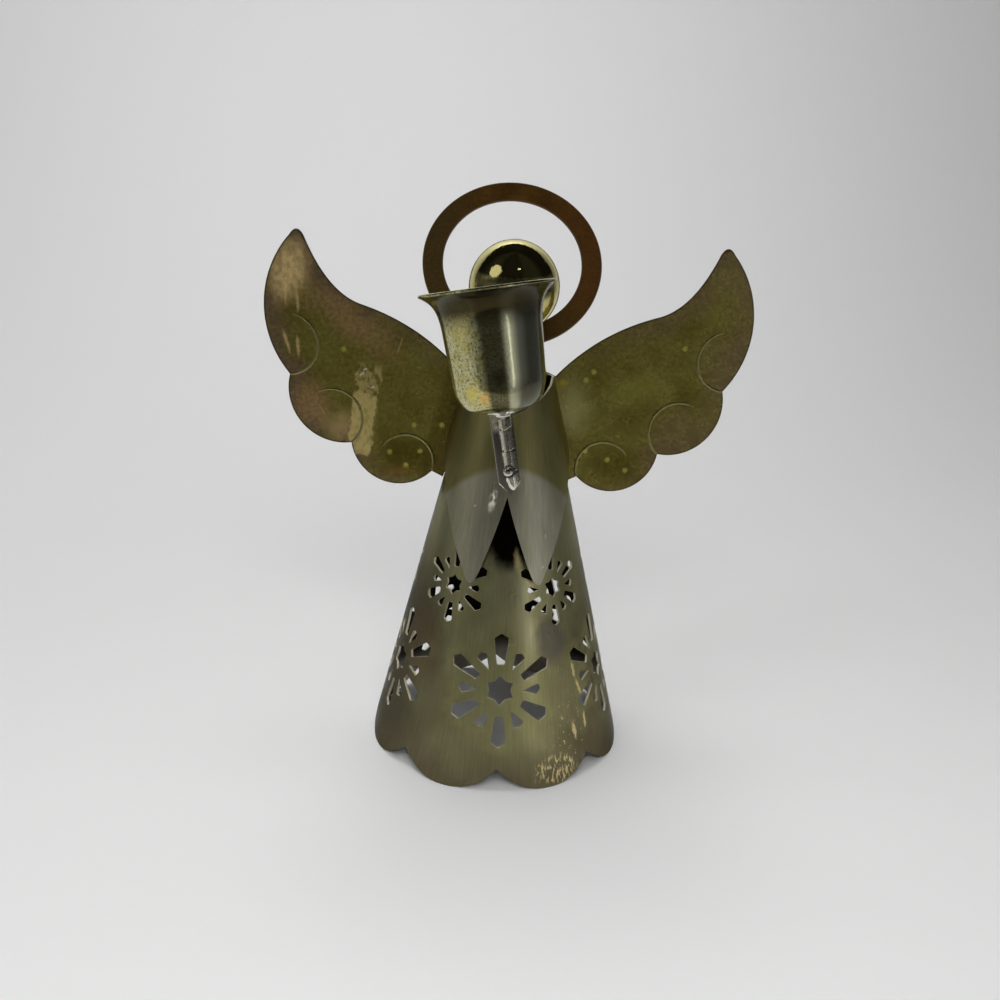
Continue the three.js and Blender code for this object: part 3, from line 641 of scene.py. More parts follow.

# Wear, painted reflections and a painted sheen on the wings as (x, height) on their pattern; the left wing
# has most of it
TIP_GLOW = (-62.6, 25.5)
UPPER_BAND = (-46.0, 12.5)
LOW_LOBE_REFLECTIONS = (((-30.0, -26.5), 0.85), ((33.0, -27.5), 0.6))
BODY_LEAN = 0.24
BODY_SHADE = -17.0
TIP_STREAKS = (((-63.5, 24.0), (-63.8, 14.6)), ((-60.7, 21.0), (-60.2, 12.4)),
               ((-65.0, 9.6), (-62.4, 1.0)), ((-60.8, 8.0), (-60.2, 0.3)))
WORN_STRIP = ((-39.8, 1.0), (-43.6, -27.2))
WORN_STRIP_WIDTH = 7.0
WORN_STRIP_BARE = 0.32
STRIP_SPECKS = ((-42.2, -3.0), (-39.2, -6.8), (-41.4, -1.6))
LOBE_GOLD = (-48.8, -18.0)
LOBE_PINK = (-57.0, -11.5)
SCRATCHES = (((-30.1, 9.4), (-32.8, 1.6)), ((-54.8, -12.6), (-52.6, -15.8)))
LEFT_SPOTS = ((-47.5, 3.8), (-27.1, -17.3), (-18.9, -17.0), (-34.1, -25.6), (-25.2, -25.0), (-29.3, -29.4))
RIGHT_SPOTS = ((24.8, 0.3), (22.6, -2.1), (23.8, -23.1), (30.6, -25.5), (36.2, -28.5), (50.7, 8.0))
ROOT_REFLECTION = (19.5, -11.0)
ROOT_STAIN = (16.0, -3.2)
MIDDLE_PAINTED_SHEEN = (40.0, -4.0)
LOBE_GLOW = (-31.3, -31.0)
SPOT = (1.0, 1.0)
RELIEF = 0.004


def wing_tarnish_and_reflections(coat, fine):
    """Olive brass, purple-brown toward the edges, with painted dark reflections on the lower lobes and beside
    the body.
    """
    coat.base(coat.noise(11.0, detail=6), OLIVE_DARK, OLIVE, OLIVE_GREEN)
    coat.tint(OLIVE_GREEN, 0.4, coat.span(fine, 0.4, 0.75))
    coat.tint(OLIVE_PALE, 0.7, coat.span(coat.y, 12.0, 34.0))
    patchy = coat.span(coat.noise(7.0, detail=6, shift=3.0), 0.3, 0.6, 0.25, 1.0)
    outer = coat.span(coat.maths("ABSOLUTE", coat.x), 22.0, 46.0, 0.35, 1.0)
    more_left = coat.span(coat.x, -5.0, 5.0, 1.0, 0.6)
    coat.tint(PURPLE_BROWN, 1.0, coat.edge(1.0, 9.0), patchy, outer, more_left)
    coat.tint(PINK_BROWN, 0.85, coat.patch(LOBE_PINK, (8, 9), 0.8, 1.5))
    coat.tint(PINK_BROWN, 0.7, coat.patch(UPPER_BAND, (24, 7.5), 0.9, 2.0, turn=-33))
    for feather in FEATHER_CENTRES[:2]:
        coat.tint(PURPLE_BROWN, 0.4, coat.patch(feather, (11, 11), 0.7, 1.0))
    # Painted dark reflections on the lower lobes
    for lobe, depth in LOW_LOBE_REFLECTIONS:
        coat.tint(OLIVE_DEEP, depth, coat.patch(lobe, (13, 9), 0.8, 1.0))
    # Painted dark reflection of the body in the wing beside it
    slant = coat.maths("ADD", coat.x, coat.maths("MULTIPLY", coat.y, -BODY_LEAN))
    beside = coat.span(slant, BODY_SHADE - 2.0, BODY_SHADE + 0.5)
    coat.tint(OLIVE_DEEP, 0.5, beside, coat.fade(coat.x, -2.0, 2.0))
    coat.grain(1.1, 0.17)


def wing_wear_and_sheen(coat):
    """Worn tip, strip and patches, a painted reflection at the right root and a faint painted sheen; gives
    back the mask of the strip's bare end.
    """
    mottle = coat.span(coat.noise(1.4, 1.5, detail=6, shift=9.0), 0.36, 0.6, 0.6, 1.0)
    glow = coat.product(coat.patch(TIP_GLOW, (8.0, 12.5), 0.8, 1.0, turn=-18), mottle)
    coat.tint(GOLD_WORN, 1.0, glow)
    coat.matte(glow, 0.12)
    for start, end in TIP_STREAKS:
        coat.tint(GOLD_WORN, 0.75, coat.streak(start, end, 1.3, 0.6, 0.25))
    top, bottom = (Vector(end) for end in WORN_STRIP)
    flaked = coat.span(coat.noise(1.6, 1.6, detail=6, shift=12.0), 0.42, 0.52)
    coat.tint(PALE_WORN, 0.6, coat.block(top, bottom, WORN_STRIP_WIDTH * 1.15, 0.18, 0.7), flaked)
    bare = coat.block(top.lerp(bottom, WORN_STRIP_BARE), bottom, WORN_STRIP_WIDTH, 0.12, 0.5)
    bare = coat.product(bare, coat.span(mottle, 0.6, 1.0, 0.8, 1.0))
    coat.tint(PALE_WORN, 0.55, bare)
    coat.tint(GOLD_WORN, 0.5, coat.patch(LOBE_GOLD, (8.0, 6.5), 1.0, 1.4, turn=20))
    # Painted reflection of the lit body beside the right wing's root
    coat.tint(ROOT_REFLECTION_GREEN, 0.6, coat.patch(ROOT_REFLECTION, (8.0, 11.0), 0.9, 1.0, turn=8))
    # Faint painted sheen in the middle of the right wing
    coat.tint(GREEN_SPOT_AND_SHEEN, 0.14, coat.patch(MIDDLE_PAINTED_SHEEN, (14, 7), 0.9, turn=20))
    coat.tint(COPPER, 0.4, coat.patch(LOBE_GLOW, (6, 2.2), 0.9, turn=12))
    coat.tint(ROOT_YELLOW, 0.6, coat.patch(ROOT_STAIN, (2.2, 1.5), 0.8, 0.3))
    return bare


def wing_front():
    """Tarnished and worn olive brass with scratches, small spots, pits and dark edges, and painted
    reflections and a painted sheen.
    """
    coat = Coat("wing_front")
    fine = coat.noise(0.9, 2.0, detail=5)
    wing_tarnish_and_reflections(coat, fine)
    bare = wing_wear_and_sheen(coat)
    for start, end in SCRATCHES:
        coat.tint(GOLD_WORN, 0.5, coat.streak(start, end, 0.45))
    for spot in LEFT_SPOTS + RIGHT_SPOTS:
        coat.tint(GREEN_SPOT_AND_SHEEN, 0.65, coat.patch(spot, SPOT, 0.5, 0.12))
    for speck in STRIP_SPECKS:
        coat.tint(WHITE_WORN, 0.9, coat.patch(speck, (0.8, 0.35), 0.4, 0.15, turn=25))
    coat.tint(OLIVE_DARK, 0.8, coat.span(coat.noise(1.7, detail=2, shift=5.0), 0.74, 0.8))
    coat.tint(EDGE_BROWN, 0.9, coat.edge(0.15, 0.55))
    gloss = coat.maths("ADD", coat.gloss(5.0, 0.2, 0.3), coat.product(bare, 0.12))
    return coat.done(gloss, fine, RELIEF)


def wing_back_shaded():
    """Unworn olive brass with darker edges, its tones a darker copy of the front's as painted shade on the
    back.
    """
    coat = Coat("wing_back_shaded")
    # Painted shade: darker tones than the front's
    coat.base(coat.noise(13.0, detail=6, shift=4.0), BACK_DARK, BACK_OLIVE, BACK_GREEN)
    patchy = coat.span(coat.noise(7.0, detail=6, shift=3.0), 0.3, 0.6, 0.2, 1.0)
    coat.tint(BACK_BROWN, 1.0, coat.edge(0.5, 8.0), patchy)
    coat.grain(1.1, 0.22)
    coat.tint(EDGE_BROWN, 0.7, coat.edge(0.15, 0.55))
    return coat.done(coat.gloss(5.0, 0.22, 0.34), coat.noise(0.9, 2.0, detail=5), RELIEF)


# Skirt colours
BRONZE = (0.2, 0.182, 0.095)
BRONZE_DARK = (0.145, 0.125, 0.065)
BRONZE_GREEN = (0.25, 0.24, 0.12)
BRONZE_LIT_FRONT = (0.54, 0.51, 0.25)
BRONZE_PALE = (0.62, 0.6, 0.36)
BRONZE_HIGHLIGHT = (0.55, 0.52, 0.32)
HOLE_GREEN = (0.36, 0.35, 0.14)
HEM_BROWN = (0.135, 0.11, 0.065)
RUST_BROWN = (0.15, 0.1, 0.055)
SIDE_SHADE = (0.09, 0.08, 0.05)
VIOLET_GREY_REFLECTION = (0.17, 0.145, 0.13)
YELLOW_WORN_AND_GLINT = (0.86, 0.7, 0.34)
BARE_DARK = (0.5, 0.44, 0.34)
BARE_BRASS = (0.6, 0.55, 0.46)
BARE_PALE = (0.66, 0.63, 0.56)

# Wear, painted light and shade, a painted reflection and a painted glint on the skirt as (turn length,
# height) on its pattern
FRONT_PAINTED_LIGHT = (3.0, 36.0)
PAINTED_LIGHT_BAND = (6.2, 46.0)
GREY_REFLECTION = (13.0, 38.0)
BROWN_PATCH = (-21.0, 33.0)
SCRATCHED = (11.8, 4.2)
DRIPS = (((18.4, 31.0), (18.9, 25.5)), ((18.9, 26.5), (20.6, 19.5)), ((20.3, 17.0), (20.2, 11.5)),
         ((16.6, 15.5), (17.2, 9.5)))
SPECKLED = (15.2, 13.0)
SLEEVE_GAP_SHADOW = (1.2, 67.0)
GAP_GLINT = ((3.4, 63.0), (4.4, 54.0))


def skirt_front():
    """Olive bronze with hairlines along the cone, greener near the piercing, brown at the hem; painted light
    on the front and in a band right of the middle, painted shade on the flanks and in the gap under the
    sleeves, a painted reflection and a painted glint.
    """
    coat = Coat("skirt_front", DULL_GLANCE)
    coat.base(coat.noise(9.0, 1.6, detail=6), BRONZE_DARK, BRONZE, BRONZE_GREEN)
    # Painted light: paler bronze over the front middle
    coat.tint(BRONZE_LIT_FRONT, 0.75, coat.patch(FRONT_PAINTED_LIGHT, (22.0, 45.0), 1.0, 2.0))
    coat.tint(BRONZE_PALE, 0.7, coat.span(coat.y, 34.0, 72.0))
    holes = coat.product(coat.edge(0.8, 3.4), coat.span(coat.y, 7.0, 10.0))
    coat.tint(HOLE_GREEN, 0.5, holes, coat.span(coat.noise(4.0), 0.35, 0.6))
    # Painted shade on both flanks, stronger low on the left
    left_flank_shade = coat.band(coat.x, -64.0, -40.0, -26.0, -7.0)
    coat.tint(SIDE_SHADE, 0.95, left_flank_shade, coat.span(coat.y, 40.0, 65.0, 1.0, 0.5))
    coat.tint(SIDE_SHADE, 0.45, coat.band(coat.x, 12.0, 28.0, 40.0, 64.0))
    coat.tint(HEM_BROWN, 0.6, coat.fade(coat.y, 1.0, 15.0))
    # Painted highlight: a light band right of the middle
    coat.tint(BRONZE_HIGHLIGHT, 0.6, coat.patch(PAINTED_LIGHT_BAND, (4.2, 22.0), 0.9, 1.0, turn=4))
    # Painted reflection: a violet-grey patch
    coat.tint(VIOLET_GREY_REFLECTION, 0.7, coat.patch(GREY_REFLECTION, (6.0, 9.0), 0.6, 0.8))
    coat.tint(RUST_BROWN, 0.4, coat.patch(BROWN_PATCH, (9.0, 15.0), 0.9, 2.0))
    scratch = coat.span(coat.noise(0.5, 4.5, detail=3, shift=2.0), 0.5, 0.58)
    coat.tint(YELLOW_WORN_AND_GLINT, 0.8, coat.patch(SCRATCHED, (6.0, 4.2), 0.5, 1.2), scratch)
    for start, end in DRIPS:
        coat.tint(YELLOW_WORN_AND_GLINT, 0.75, coat.streak(start, end, 1.2, 0.6, 0.3))
    specks = coat.span(coat.noise(0.9, 1.8, detail=3, shift=6.0), 0.62, 0.67)
    coat.tint(YELLOW_WORN_AND_GLINT, 0.7, coat.patch(SPECKLED, (5.5, 13.0), 0.6), specks)
    lines = coat.hairlines(0.34, 26.0, 0.07)
    # Painted shadow: black in the gap between the sleeves
    coat.tint(SHADE_BLACK, 1.0, coat.patch(SLEEVE_GAP_SHADOW, (9.5, 13.0), 0.4, 0.5))
    # Painted glint on the gap's right edge
    coat.tint(YELLOW_WORN_AND_GLINT, 0.8, coat.streak(*GAP_GLINT, 3.0, 0.9, 0.3))
    return coat.done(coat.gloss(6.0, 0.27, 0.38), lines, RELIEF)


def skirt_inside():
    """Bare silvery brass, painted black as shade inside the cone from a little above the hem."""
    coat = Coat("skirt_inside")
    coat.base(coat.noise(10.0, 1.5, detail=5), BARE_DARK, BARE_BRASS, BARE_PALE)
    # Painted shade inside the cone above the hem
    coat.tint(SHADE_BLACK, 0.98, coat.span(coat.y, 7.0, 15.0))
    return coat.done(coat.span(coat.noise(5.0), 0.3, 0.7, 0.3, 0.45))


# Mantle colours
SATIN_GREY = (0.6, 0.575, 0.42)
SATIN_DARK = (0.5, 0.475, 0.33)
SATIN_PALE = (0.72, 0.69, 0.54)
SHADED_OLIVE = (0.36, 0.325, 0.12)
LEFT_SIDE_SHADE = (0.76, 0.75, 0.7)
SCUFF_WHITE = (0.95, 0.95, 0.75)

# Wear and a painted dark reflection line on the mantle as (turn length, height) on its pattern
DARK_REFLECTION_LINE = 82.5
DARK_REFLECTION_DROP = 0.016
SCUFF = ((-5.6, 70.5), (-3.8, 78.0))
SMALL_MARKS = (((-10.9, 72.3), (-9.7, 72.8)), ((9.8, 57.2), (11.2, 57.9)), ((12.0, 66.0), (12.1, 64.5)))


def mantle_front():
    """Satin grey plate with hairlines, a painted dark olive reflection above a bowed line, painted shade on
    the left sleeve, a scuff and small marks.
    """
    coat = Coat("mantle_front", DULL_GLANCE)
    coat.base(coat.noise(8.0, 3.0, detail=6), SATIN_DARK, SATIN_GREY, SATIN_PALE)
    # Painted dark reflection: olive above a bowed line
    level = coat.maths("ADD", coat.y, coat.product(coat.x, coat.x, DARK_REFLECTION_DROP))
    coat.tint(SHADED_OLIVE, 0.9, coat.span(level, DARK_REFLECTION_LINE - 1.2, DARK_REFLECTION_LINE + 1.2))
    # Painted shade: the left sleeve made darker
    coat.tint(LEFT_SIDE_SHADE, 1.0, coat.band(coat.x, -60.0, -40.0, -12.0, -2.0), mode="MULTIPLY")
    lines = coat.hairlines(0.3, 30.0, 0.1)
    rub = coat.span(coat.noise(0.6, 3.0, shift=4.0), 0.34, 0.56)
    scuff = coat.product(coat.streak(*SCUFF, 3.8, 0.8, 0.5), rub)
    coat.tint(SCUFF_WHITE, 1.0, scuff)
    coat.matte(scuff, 0.3)
    for start, end in SMALL_MARKS:
        coat.tint(WHITE_WORN, 0.7, coat.streak(start, end, 0.6, 0.5, 0.15))
    return coat.done(coat.gloss(6.0, 0.34, 0.44, stretch=2.0), lines, 0.003)


# Halo
HALO_BROWN = (0.051, 0.0245, 0.0045)
HALO_DARK = (0.039, 0.0185, 0.0034)
HALO_PALE = (0.066, 0.0325, 0.0062)
HALO_RED = (0.059, 0.0235, 0.0062)
HALO_LOW = (0.04, 0.029, 0.0054)
HALO_OLIVE = (0.037, 0.0275, 0.0085)
HALO_METAL = 0.35
HALO_SHEEN = 0.1


def halo_front():
    """Dull dark brown plate, reddish on the right, olive on the left and low down."""
    coat = Coat("halo_front", metal=HALO_METAL)
    coat.feed("Specular IOR Level", HALO_SHEEN)
    coat.base(coat.noise(6.0, detail=6), HALO_DARK, HALO_BROWN, HALO_PALE)
    coat.tint(HALO_RED, 0.6, coat.span(coat.x, 4.0, 22.0))
    coat.tint(HALO_LOW, 0.5, coat.fade(coat.y, 4.0, 22.0))
    coat.tint(HALO_OLIVE, 0.7, coat.fade(coat.x, -22.0, -6.0))
    coat.grain(1.0, 0.12)
    coat.tint(EDGE_BROWN, 0.85, coat.edge(0.12, 0.45))
    return coat.done(coat.gloss(4.0, 0.4, 0.5), coat.noise(0.8, detail=5), RELIEF)


# Cup colours
CUP_SILVER = (0.6, 0.57, 0.28)
CUP_YELLOW = (0.5, 0.45, 0.16)
CUP_PALE = (0.65, 0.65, 0.42)
CUP_SAND = (0.14, 0.12, 0.05)
CUP_CLUMP = (0.1, 0.09, 0.035)
CUP_GOLD_SHEEN = (0.55, 0.48, 0.16)
CUP_REFLECTION_DARK = (0.05, 0.043, 0.02)
CUP_HIGHLIGHT = (0.54, 0.54, 0.37)
CUP_REFLECTION_GREY = (0.12, 0.13, 0.1)
CUP_BLACK = (0.03, 0.03, 0.02)
LIP_SHADE_BROWN = (0.032, 0.025, 0.01)

# Stains, a painted sheen and a painted dark reflection band on the cup as (turn length, length along its
# profile); a stain is its place, half sizes and colour
CUP_STRETCH = 0.47
CUP_SHEEN = (-17.0, 26.0)
CUP_SHADE = -7.0
CUP_STAINS = (((-17.0, 12.5), (7.0, 3.4), (0.6, 0.5, 0.12)), ((-10.5, 11.0), (4.0, 2.2), (0.62, 0.34, 0.05)),
              ((-1.0, 15.5), (6.0, 3.0), CUP_BLACK), ((14.0, 11.5), (15.0, 4.5), (0.09, 0.075, 0.045)))
CUP_LIP_START = 36.2


def cup_front():
    """Silvery plate with yellow tarnish and dark specks; outside, a painted yellow sheen, painted dark and
    grey reflection bands and a pale painted highlight band; painted shade under the lip.
    """
    coat = Coat("cup_front")
    coat.base(coat.noise(6.0, CUP_STRETCH, detail=5), CUP_YELLOW, CUP_SILVER, CUP_PALE)
    sand = coat.noise(0.8, CUP_STRETCH, detail=3, shift=3.0)
    coat.tint(CUP_SAND, 0.66, coat.span(sand, 0.42, 0.72))
    coat.tint(CUP_CLUMP, 0.6, coat.span(coat.noise(1.7, CUP_STRETCH, detail=6, shift=8.0), 0.5, 0.6))
    outside = coat.fade(coat.y, CUP_LIP_START, CUP_LIP_START + 0.4)
    # Painted yellow sheen on the left
    coat.tint(CUP_GOLD_SHEEN, 0.5, coat.patch(CUP_SHEEN, (11.0, 7.0), 1.0, 1.0))
    # Painted dark reflection: a dark band left of the middle, with black specks in it
    shade = coat.product(coat.band(coat.x, CUP_SHADE - 3.0, CUP_SHADE + 1.0, 1.0, 8.0), outside)
    coat.tint(CUP_REFLECTION_DARK, 0.85, shade)
    # Painted highlight: a pale band right of the middle
    coat.tint(CUP_HIGHLIGHT, 0.9, coat.band(coat.x, 2.0, 5.0, 44.0, 64.0), outside)
    # Painted dark reflection: a grey band further right
    coat.tint(CUP_REFLECTION_GREY, 0.9, coat.band(coat.x, 7.0, 11.5, 36.0, 52.0), outside)
    coat.tint(CUP_BLACK, 0.6, coat.span(sand, 0.55, 0.62), shade)
    for place, size, tone in CUP_STAINS:
        coat.tint(tone, 0.7, coat.patch(place, size, 0.9, 0.6))
    # Painted shade under the lip
    coat.tint(LIP_SHADE_BROWN, 0.96, coat.span(coat.y, CUP_LIP_START - 10.5, CUP_LIP_START - 5.0), outside)
    return coat.done(coat.span(sand, 0.3, 0.7, 0.12, 0.22), sand, 0.002)


# Painted dark reflection on the ball's front as (turn length, length along its profile)
BALL_GOLD = (0.7, 0.63, 0.25)
BALL_TARNISH = (0.58, 0.52, 0.2)
BALL_DARK_REFLECTION = (0.05, 0.045, 0.025)
FRONT_DARK_REFLECTION = (0.0, 27.4)


def head_gold():
    """Polished brass with shallow dents, and a painted dark reflection in front above the candle."""
    coat = Coat("head_gold")
    cloud = coat.noise(5.0, detail=5)
    coat.colour = BALL_TARNISH
    coat.tint(BALL_GOLD, 1.0, coat.span(cloud, 0.35, 0.65))
    # Painted dark reflection in front of the ball
    coat.tint(BALL_DARK_REFLECTION, 0.85, coat.patch(FRONT_DARK_REFLECTION, (30.0, 3.4), 0.35, 0.4))
    return coat.done(coat.span(cloud, 0.3, 0.7, 0.036, 0.056), coat.noise(1.8, detail=5, shift=2.0), 0.03)


def bright_metal(name, colour, roughness, metal=1.0):
    """Plain metal with faint clouds and uneven gloss."""
    coat = Coat(name, metal=metal)
    cloud = coat.noise(5.0, detail=5)
    coat.colour = [0.85 * value for value in colour]
    coat.tint(colour, 1.0, coat.span(cloud, 0.35, 0.65))
    return coat.done(coat.span(cloud, 0.3, 0.7, roughness * 0.8, roughness * 1.25))


ARM_SILVER = bright_metal("arm_silver", (0.76, 0.73, 0.61), 0.12)
RIVET_SILVER = bright_metal("rivet_silver", (0.66, 0.65, 0.6), 0.16)
CUT_METAL = bright_metal("cut_metal", (0.56, 0.52, 0.38), 0.45, 0.35)
CUT_BROWN = bright_metal("cut_brown", (0.12, 0.08, 0.045), 0.4)
FEATHER_LINE = bright_metal("feather_line", (0.31, 0.275, 0.115), 0.3)
INNER_STEEL = bright_metal("inner_steel", (0.42, 0.41, 0.39), 0.4)


# Skirt

def on_cone(radius, turn, height):
    """Place at a turn about the body's axis, counted from the front."""
    return Vector((radius * math.sin(turn), AXIS_Y - radius * math.cos(turn), height))


def hem_height(turn):
    """Lower edge of the skirt: a row of round scallops, each with a short flat to stand on."""
    part = (turn * SCALLOPS / (2 * math.pi)) % 1.0
    away = abs(part - 0.5) * 2 * HALF_SCALLOP
    rise = SCALLOP_RADIUS - math.sqrt(SCALLOP_RADIUS ** 2 - away ** 2)
    flat = SCALLOP_RADIUS - math.sqrt(SCALLOP_RADIUS ** 2 - (HEM_FLAT / 2) ** 2)
    return max(0.0, rise - flat)


def on_skirt(u, v, depth):
    turn = u / ROUND
    step = ease(turn, math.pi - LAP_EASE, math.pi - LAP_EASE / 6) * (1 - ease(v, LAP_TOP, LAP_TOP + LAP_FADE))
    return on_cone(skirt_radius(v) - depth / math.cos(SLANT) + LAP_STEP * step, turn, v)


def flake(size, height, turn):
    """Cut-outs of one snowflake on the pattern: six long petals, six short ones and a star."""
    shapes = []
    star = []
    for step in range(12):
        spin = Matrix.Rotation(step * math.pi / 6, 2)
        shapes.append([spin @ Vector(corner) for corner in (SHORT_PETAL if step % 2 else LONG_PETAL)])
        star.append(spin @ Vector((0, STAR_DENT if step % 2 else STAR_TIP)))
    made = []
    for shape in shapes + [star]:
        loop = []
        for x, y in rounded([corner * size for corner in shape], CORNER_ROUND):
            level = height + y * math.cos(SLANT)
            loop.append(((turn + x / skirt_radius(level)) * ROUND, level))
        made.append(loop)
    return made


def make_skirt():
    lap_end = math.pi + LAP_WIDTH / HEM_RADIUS
    turns = spread(-math.pi, math.pi, 240) + spread(math.pi, lap_end, 6)[1:]
    hem = [(turn * ROUND, hem_height(turn)) for turn in turns]
    side = [(lap_end * ROUND, LAP_TOP), (math.pi * ROUND, LAP_TOP)]
    top = [(turn * ROUND, SKIRT_HEIGHT) for turn in spread(math.pi, -math.pi, 120)]
    holes = []
    for count, size, height in FLAKE_ROWS:
        for place in range(count):
            holes += flake(size, height, (place - (count - 1) / 2) * FLAKE_PITCH)
    sheet = cut_sheet(hem + side + top, holes, (math.radians(2.5) * ROUND, 2.5))
    return sheet_piece("skirt_sheet", "skirt", [skirt_front(), skirt_inside(), CUT_METAL], sheet, on_skirt)


# Mantle

def mantle_low(turn):
    """Lower edge: a notch in front, two sleeves with round ends, then up to the back."""
    away = abs(turn)
    from_end = (away - SLEEVE_ANGLE) / SLEEVE_END
    side_length = SLEEVE_LENGTH - SLEEVE_ROUND
    if abs(from_end) < 1:
        return MANTLE_TOP - SLEEVE_LENGTH + SLEEVE_ROUND * from_end ** 2
    if from_end < 0:
        return MANTLE_TOP - NOTCH_LENGTH - (side_length - NOTCH_LENGTH) * away / (SLEEVE_ANGLE - SLEEVE_END)
    start = SLEEVE_ANGLE + SLEEVE_END
    part = min(1.0, (away - start) / (SLEEVE_SIDE - start))
    return MANTLE_TOP - side_length + (side_length - MANTLE_BACK_LENGTH) * math.sin(part * math.pi / 2)


def mantle_high(turn):
    return MANTLE_TOP - NECK_DIP * max(0.0, 1 - abs(turn) / NECK_CORNER)


def on_mantle(u, v, depth):
    return on_cone(mantle_radius(v) - depth / math.cos(MANTLE_SLANT), u / ROUND, v)


def make_mantle():
    turns = spread(-math.pi, math.pi, 360)
    low_edge = [(turn * ROUND, mantle_low(turn)) for turn in turns]
    high_edge = [(turn * ROUND, mantle_high(turn)) for turn in reversed(turns)]
    sheet = cut_sheet(low_edge + high_edge, [], (math.radians(3) * ROUND, 2.5))
    front = mantle_front()
    return sheet_piece("mantle_sheet", "mantle", [front, front, CUT_METAL], sheet, on_mantle)


# Wings

def folded(v, fold, lower, upper):
    """Place and direction at v on a strip that folds at height fold from one direction to another."""
    reach = FOLD_RADIUS
    way = lower.lerp(upper, ease(v, fold - reach, fold + reach)).normalized()
    if v <= fold - reach:
        return lower * (v - fold), way
    if v >= fold + reach:
        return upper * (v - fold), way
    t = (v - fold + reach) / (2 * reach)
    a, c = -lower * reach, upper * reach
    return a.lerp(Vector(), t).lerp(Vector().lerp(c, t), t), way


def lobe_notch(first, second):
    """Outer crossing of two lobes."""
    (centre_a, radius_a), (centre_b, radius_b) = first, second
    across = Vector(centre_b) - Vector(centre_a)
    share = (radius_a ** 2 - radius_b ** 2 + across.length_squared) / (2 * across.length)
    ahead = across.normalized()
    side = math.sqrt(radius_a ** 2 - share ** 2)
    return tuple(Vector(centre_a) + ahead * share + Vector((-ahead.y, ahead.x)) * side)


UPPER_NOTCH = lobe_notch(UPPER_LOBE, MIDDLE_LOBE)
LOWER_NOTCH = lobe_notch(MIDDLE_LOBE, LOWER_LOBE)


def angle_about(centre, point):
    return math.atan2(point[1] - centre[1], point[0] - centre[0])


def lobe_arc(lobe, start, end):
    first, last = angle_about(lobe[0], start), angle_about(lobe[0], end)
    if last > first:
        last -= 2 * math.pi
    return arc(*lobe, first, last, 40)[1:]


def wing_outline():
    half = TONGUE_WIDTH / 2
    end = -WING_RIVET_DROPS[1] / math.cos(MANTLE_SLANT)
    corner = [(half + x, WEB_BOTTOM + y) for x, y in TONGUE_CORNER]
    right = [(0.0, WEB_TOP)]
    right += bend((0, WEB_TOP), (TONGUE_WIDTH, WEB_TOP), WING_ROOT)
    right += bend(WING_ROOT, WING_RISE_BEND, WING_CREST, 28)
    right += bend(WING_CREST, WING_TIP_BEND, WING_TIP_BACK, 24)
    right += bend(WING_TIP_BACK, WING_TIP, WING_TIP_FRONT)
    right += lobe_arc(UPPER_LOBE, WING_TIP_FRONT, UPPER_NOTCH)
    right += lobe_arc(MIDDLE_LOBE, UPPER_NOTCH, LOWER_NOTCH)
    right += lobe_arc(LOWER_LOBE, LOWER_NOTCH, WING_INNER)
    right.append(ARCH_FOOT)
    right += bend(ARCH_FOOT, ARCH_BEND, corner[0], 24)
    right += bend(*corner, 4)
    right += arc((0, end), half, 0, -math.pi / 2, 16)
    left = [(-x, y) for x, y in reversed(right[1:-1])]
    return [(x, y) for x, y in reversed(right + left)]


def on_wings(u, v, depth):
    bend_height = MANTLE_TOP + WEB_BOTTOM
    layer = 2 * SEAT + 2 * SHEET
    back = AXIS_Y + mantle_radius(bend_height) + layer / math.cos(MANTLE_SLANT)
    if abs(u) <= TONGUE_WIDTH / 2 + TONGUE_MARGIN and v < WEB_BOTTOM + FOLD_RADIUS:
        offset, way = folded(v, WEB_BOTTOM, BACK_UP, Vector((0, 0, 1)))
        front = Vector((0, -way.z, way.y))
        return Vector((u, back, bend_height)) + offset + front * (SHEET - depth)
    return Vector((u, back - SHEET + depth, MANTLE_TOP + v))


def feather_ridge(notch, centre, side):
    """Points and faces of a raised line that goes on from a notch into the wing, fading at its end."""
    radius = (Vector(notch) - Vector(centre)).length
    start = angle_about(centre, notch)
    sections = []
    for share in spread(0.01, 1, 48):
        angle = start - FEATHER_SWEEP * share
        size = math.sqrt(max(0.02, 1 - share ** 6))
        section = []
        for turn in spread(0, 2 * math.pi, 12)[:-1]:
            out = radius + FEATHER_WIDTH / 2 * size * math.cos(turn)
            lift = FEATHER_RISE * size * math.sin(turn)
            x = side * (centre[0] + out * math.cos(angle))
            section.append(on_wings(x, centre[1] + out * math.sin(angle), -lift))
        sections.append(section)
    points, faces, _ = lofted(sections)
    return points, [face[::-1] for face in faces] if side > 0 else faces


def make_wings():
    starts = zip((UPPER_NOTCH, LOWER_NOTCH, WING_INNER), FEATHER_CENTRES)
    ridges = [feather_ridge(notch, centre, side) for notch, centre in starts for side in (-1, 1)]
    materials = [wing_front(), wing_back_shaded(), CUT_BROWN, FEATHER_LINE]
    sheet = cut_sheet(wing_outline(), [], (2.0, 2.0))
    return sheet_piece("wing_sheet", "wings", materials, sheet, on_wings, ridges)


# Halo

def on_halo(u, v, depth):
    ring_up = Vector((0, math.sin(HALO_LEAN), math.cos(HALO_LEAN)))
    offset, way = folded(v, 0.0, BACK_UP, ring_up)
    front = Vector((0, -way.z, way.y))
    foot = BACK_TOP + BACK_UP * (STEM_RISE / math.cos(MANTLE_SLANT)) + BACK_AXIS * (SEAT + SHEET)
    return Vector((u, 0, 0)) + foot + offset + front * (SHEET - depth)


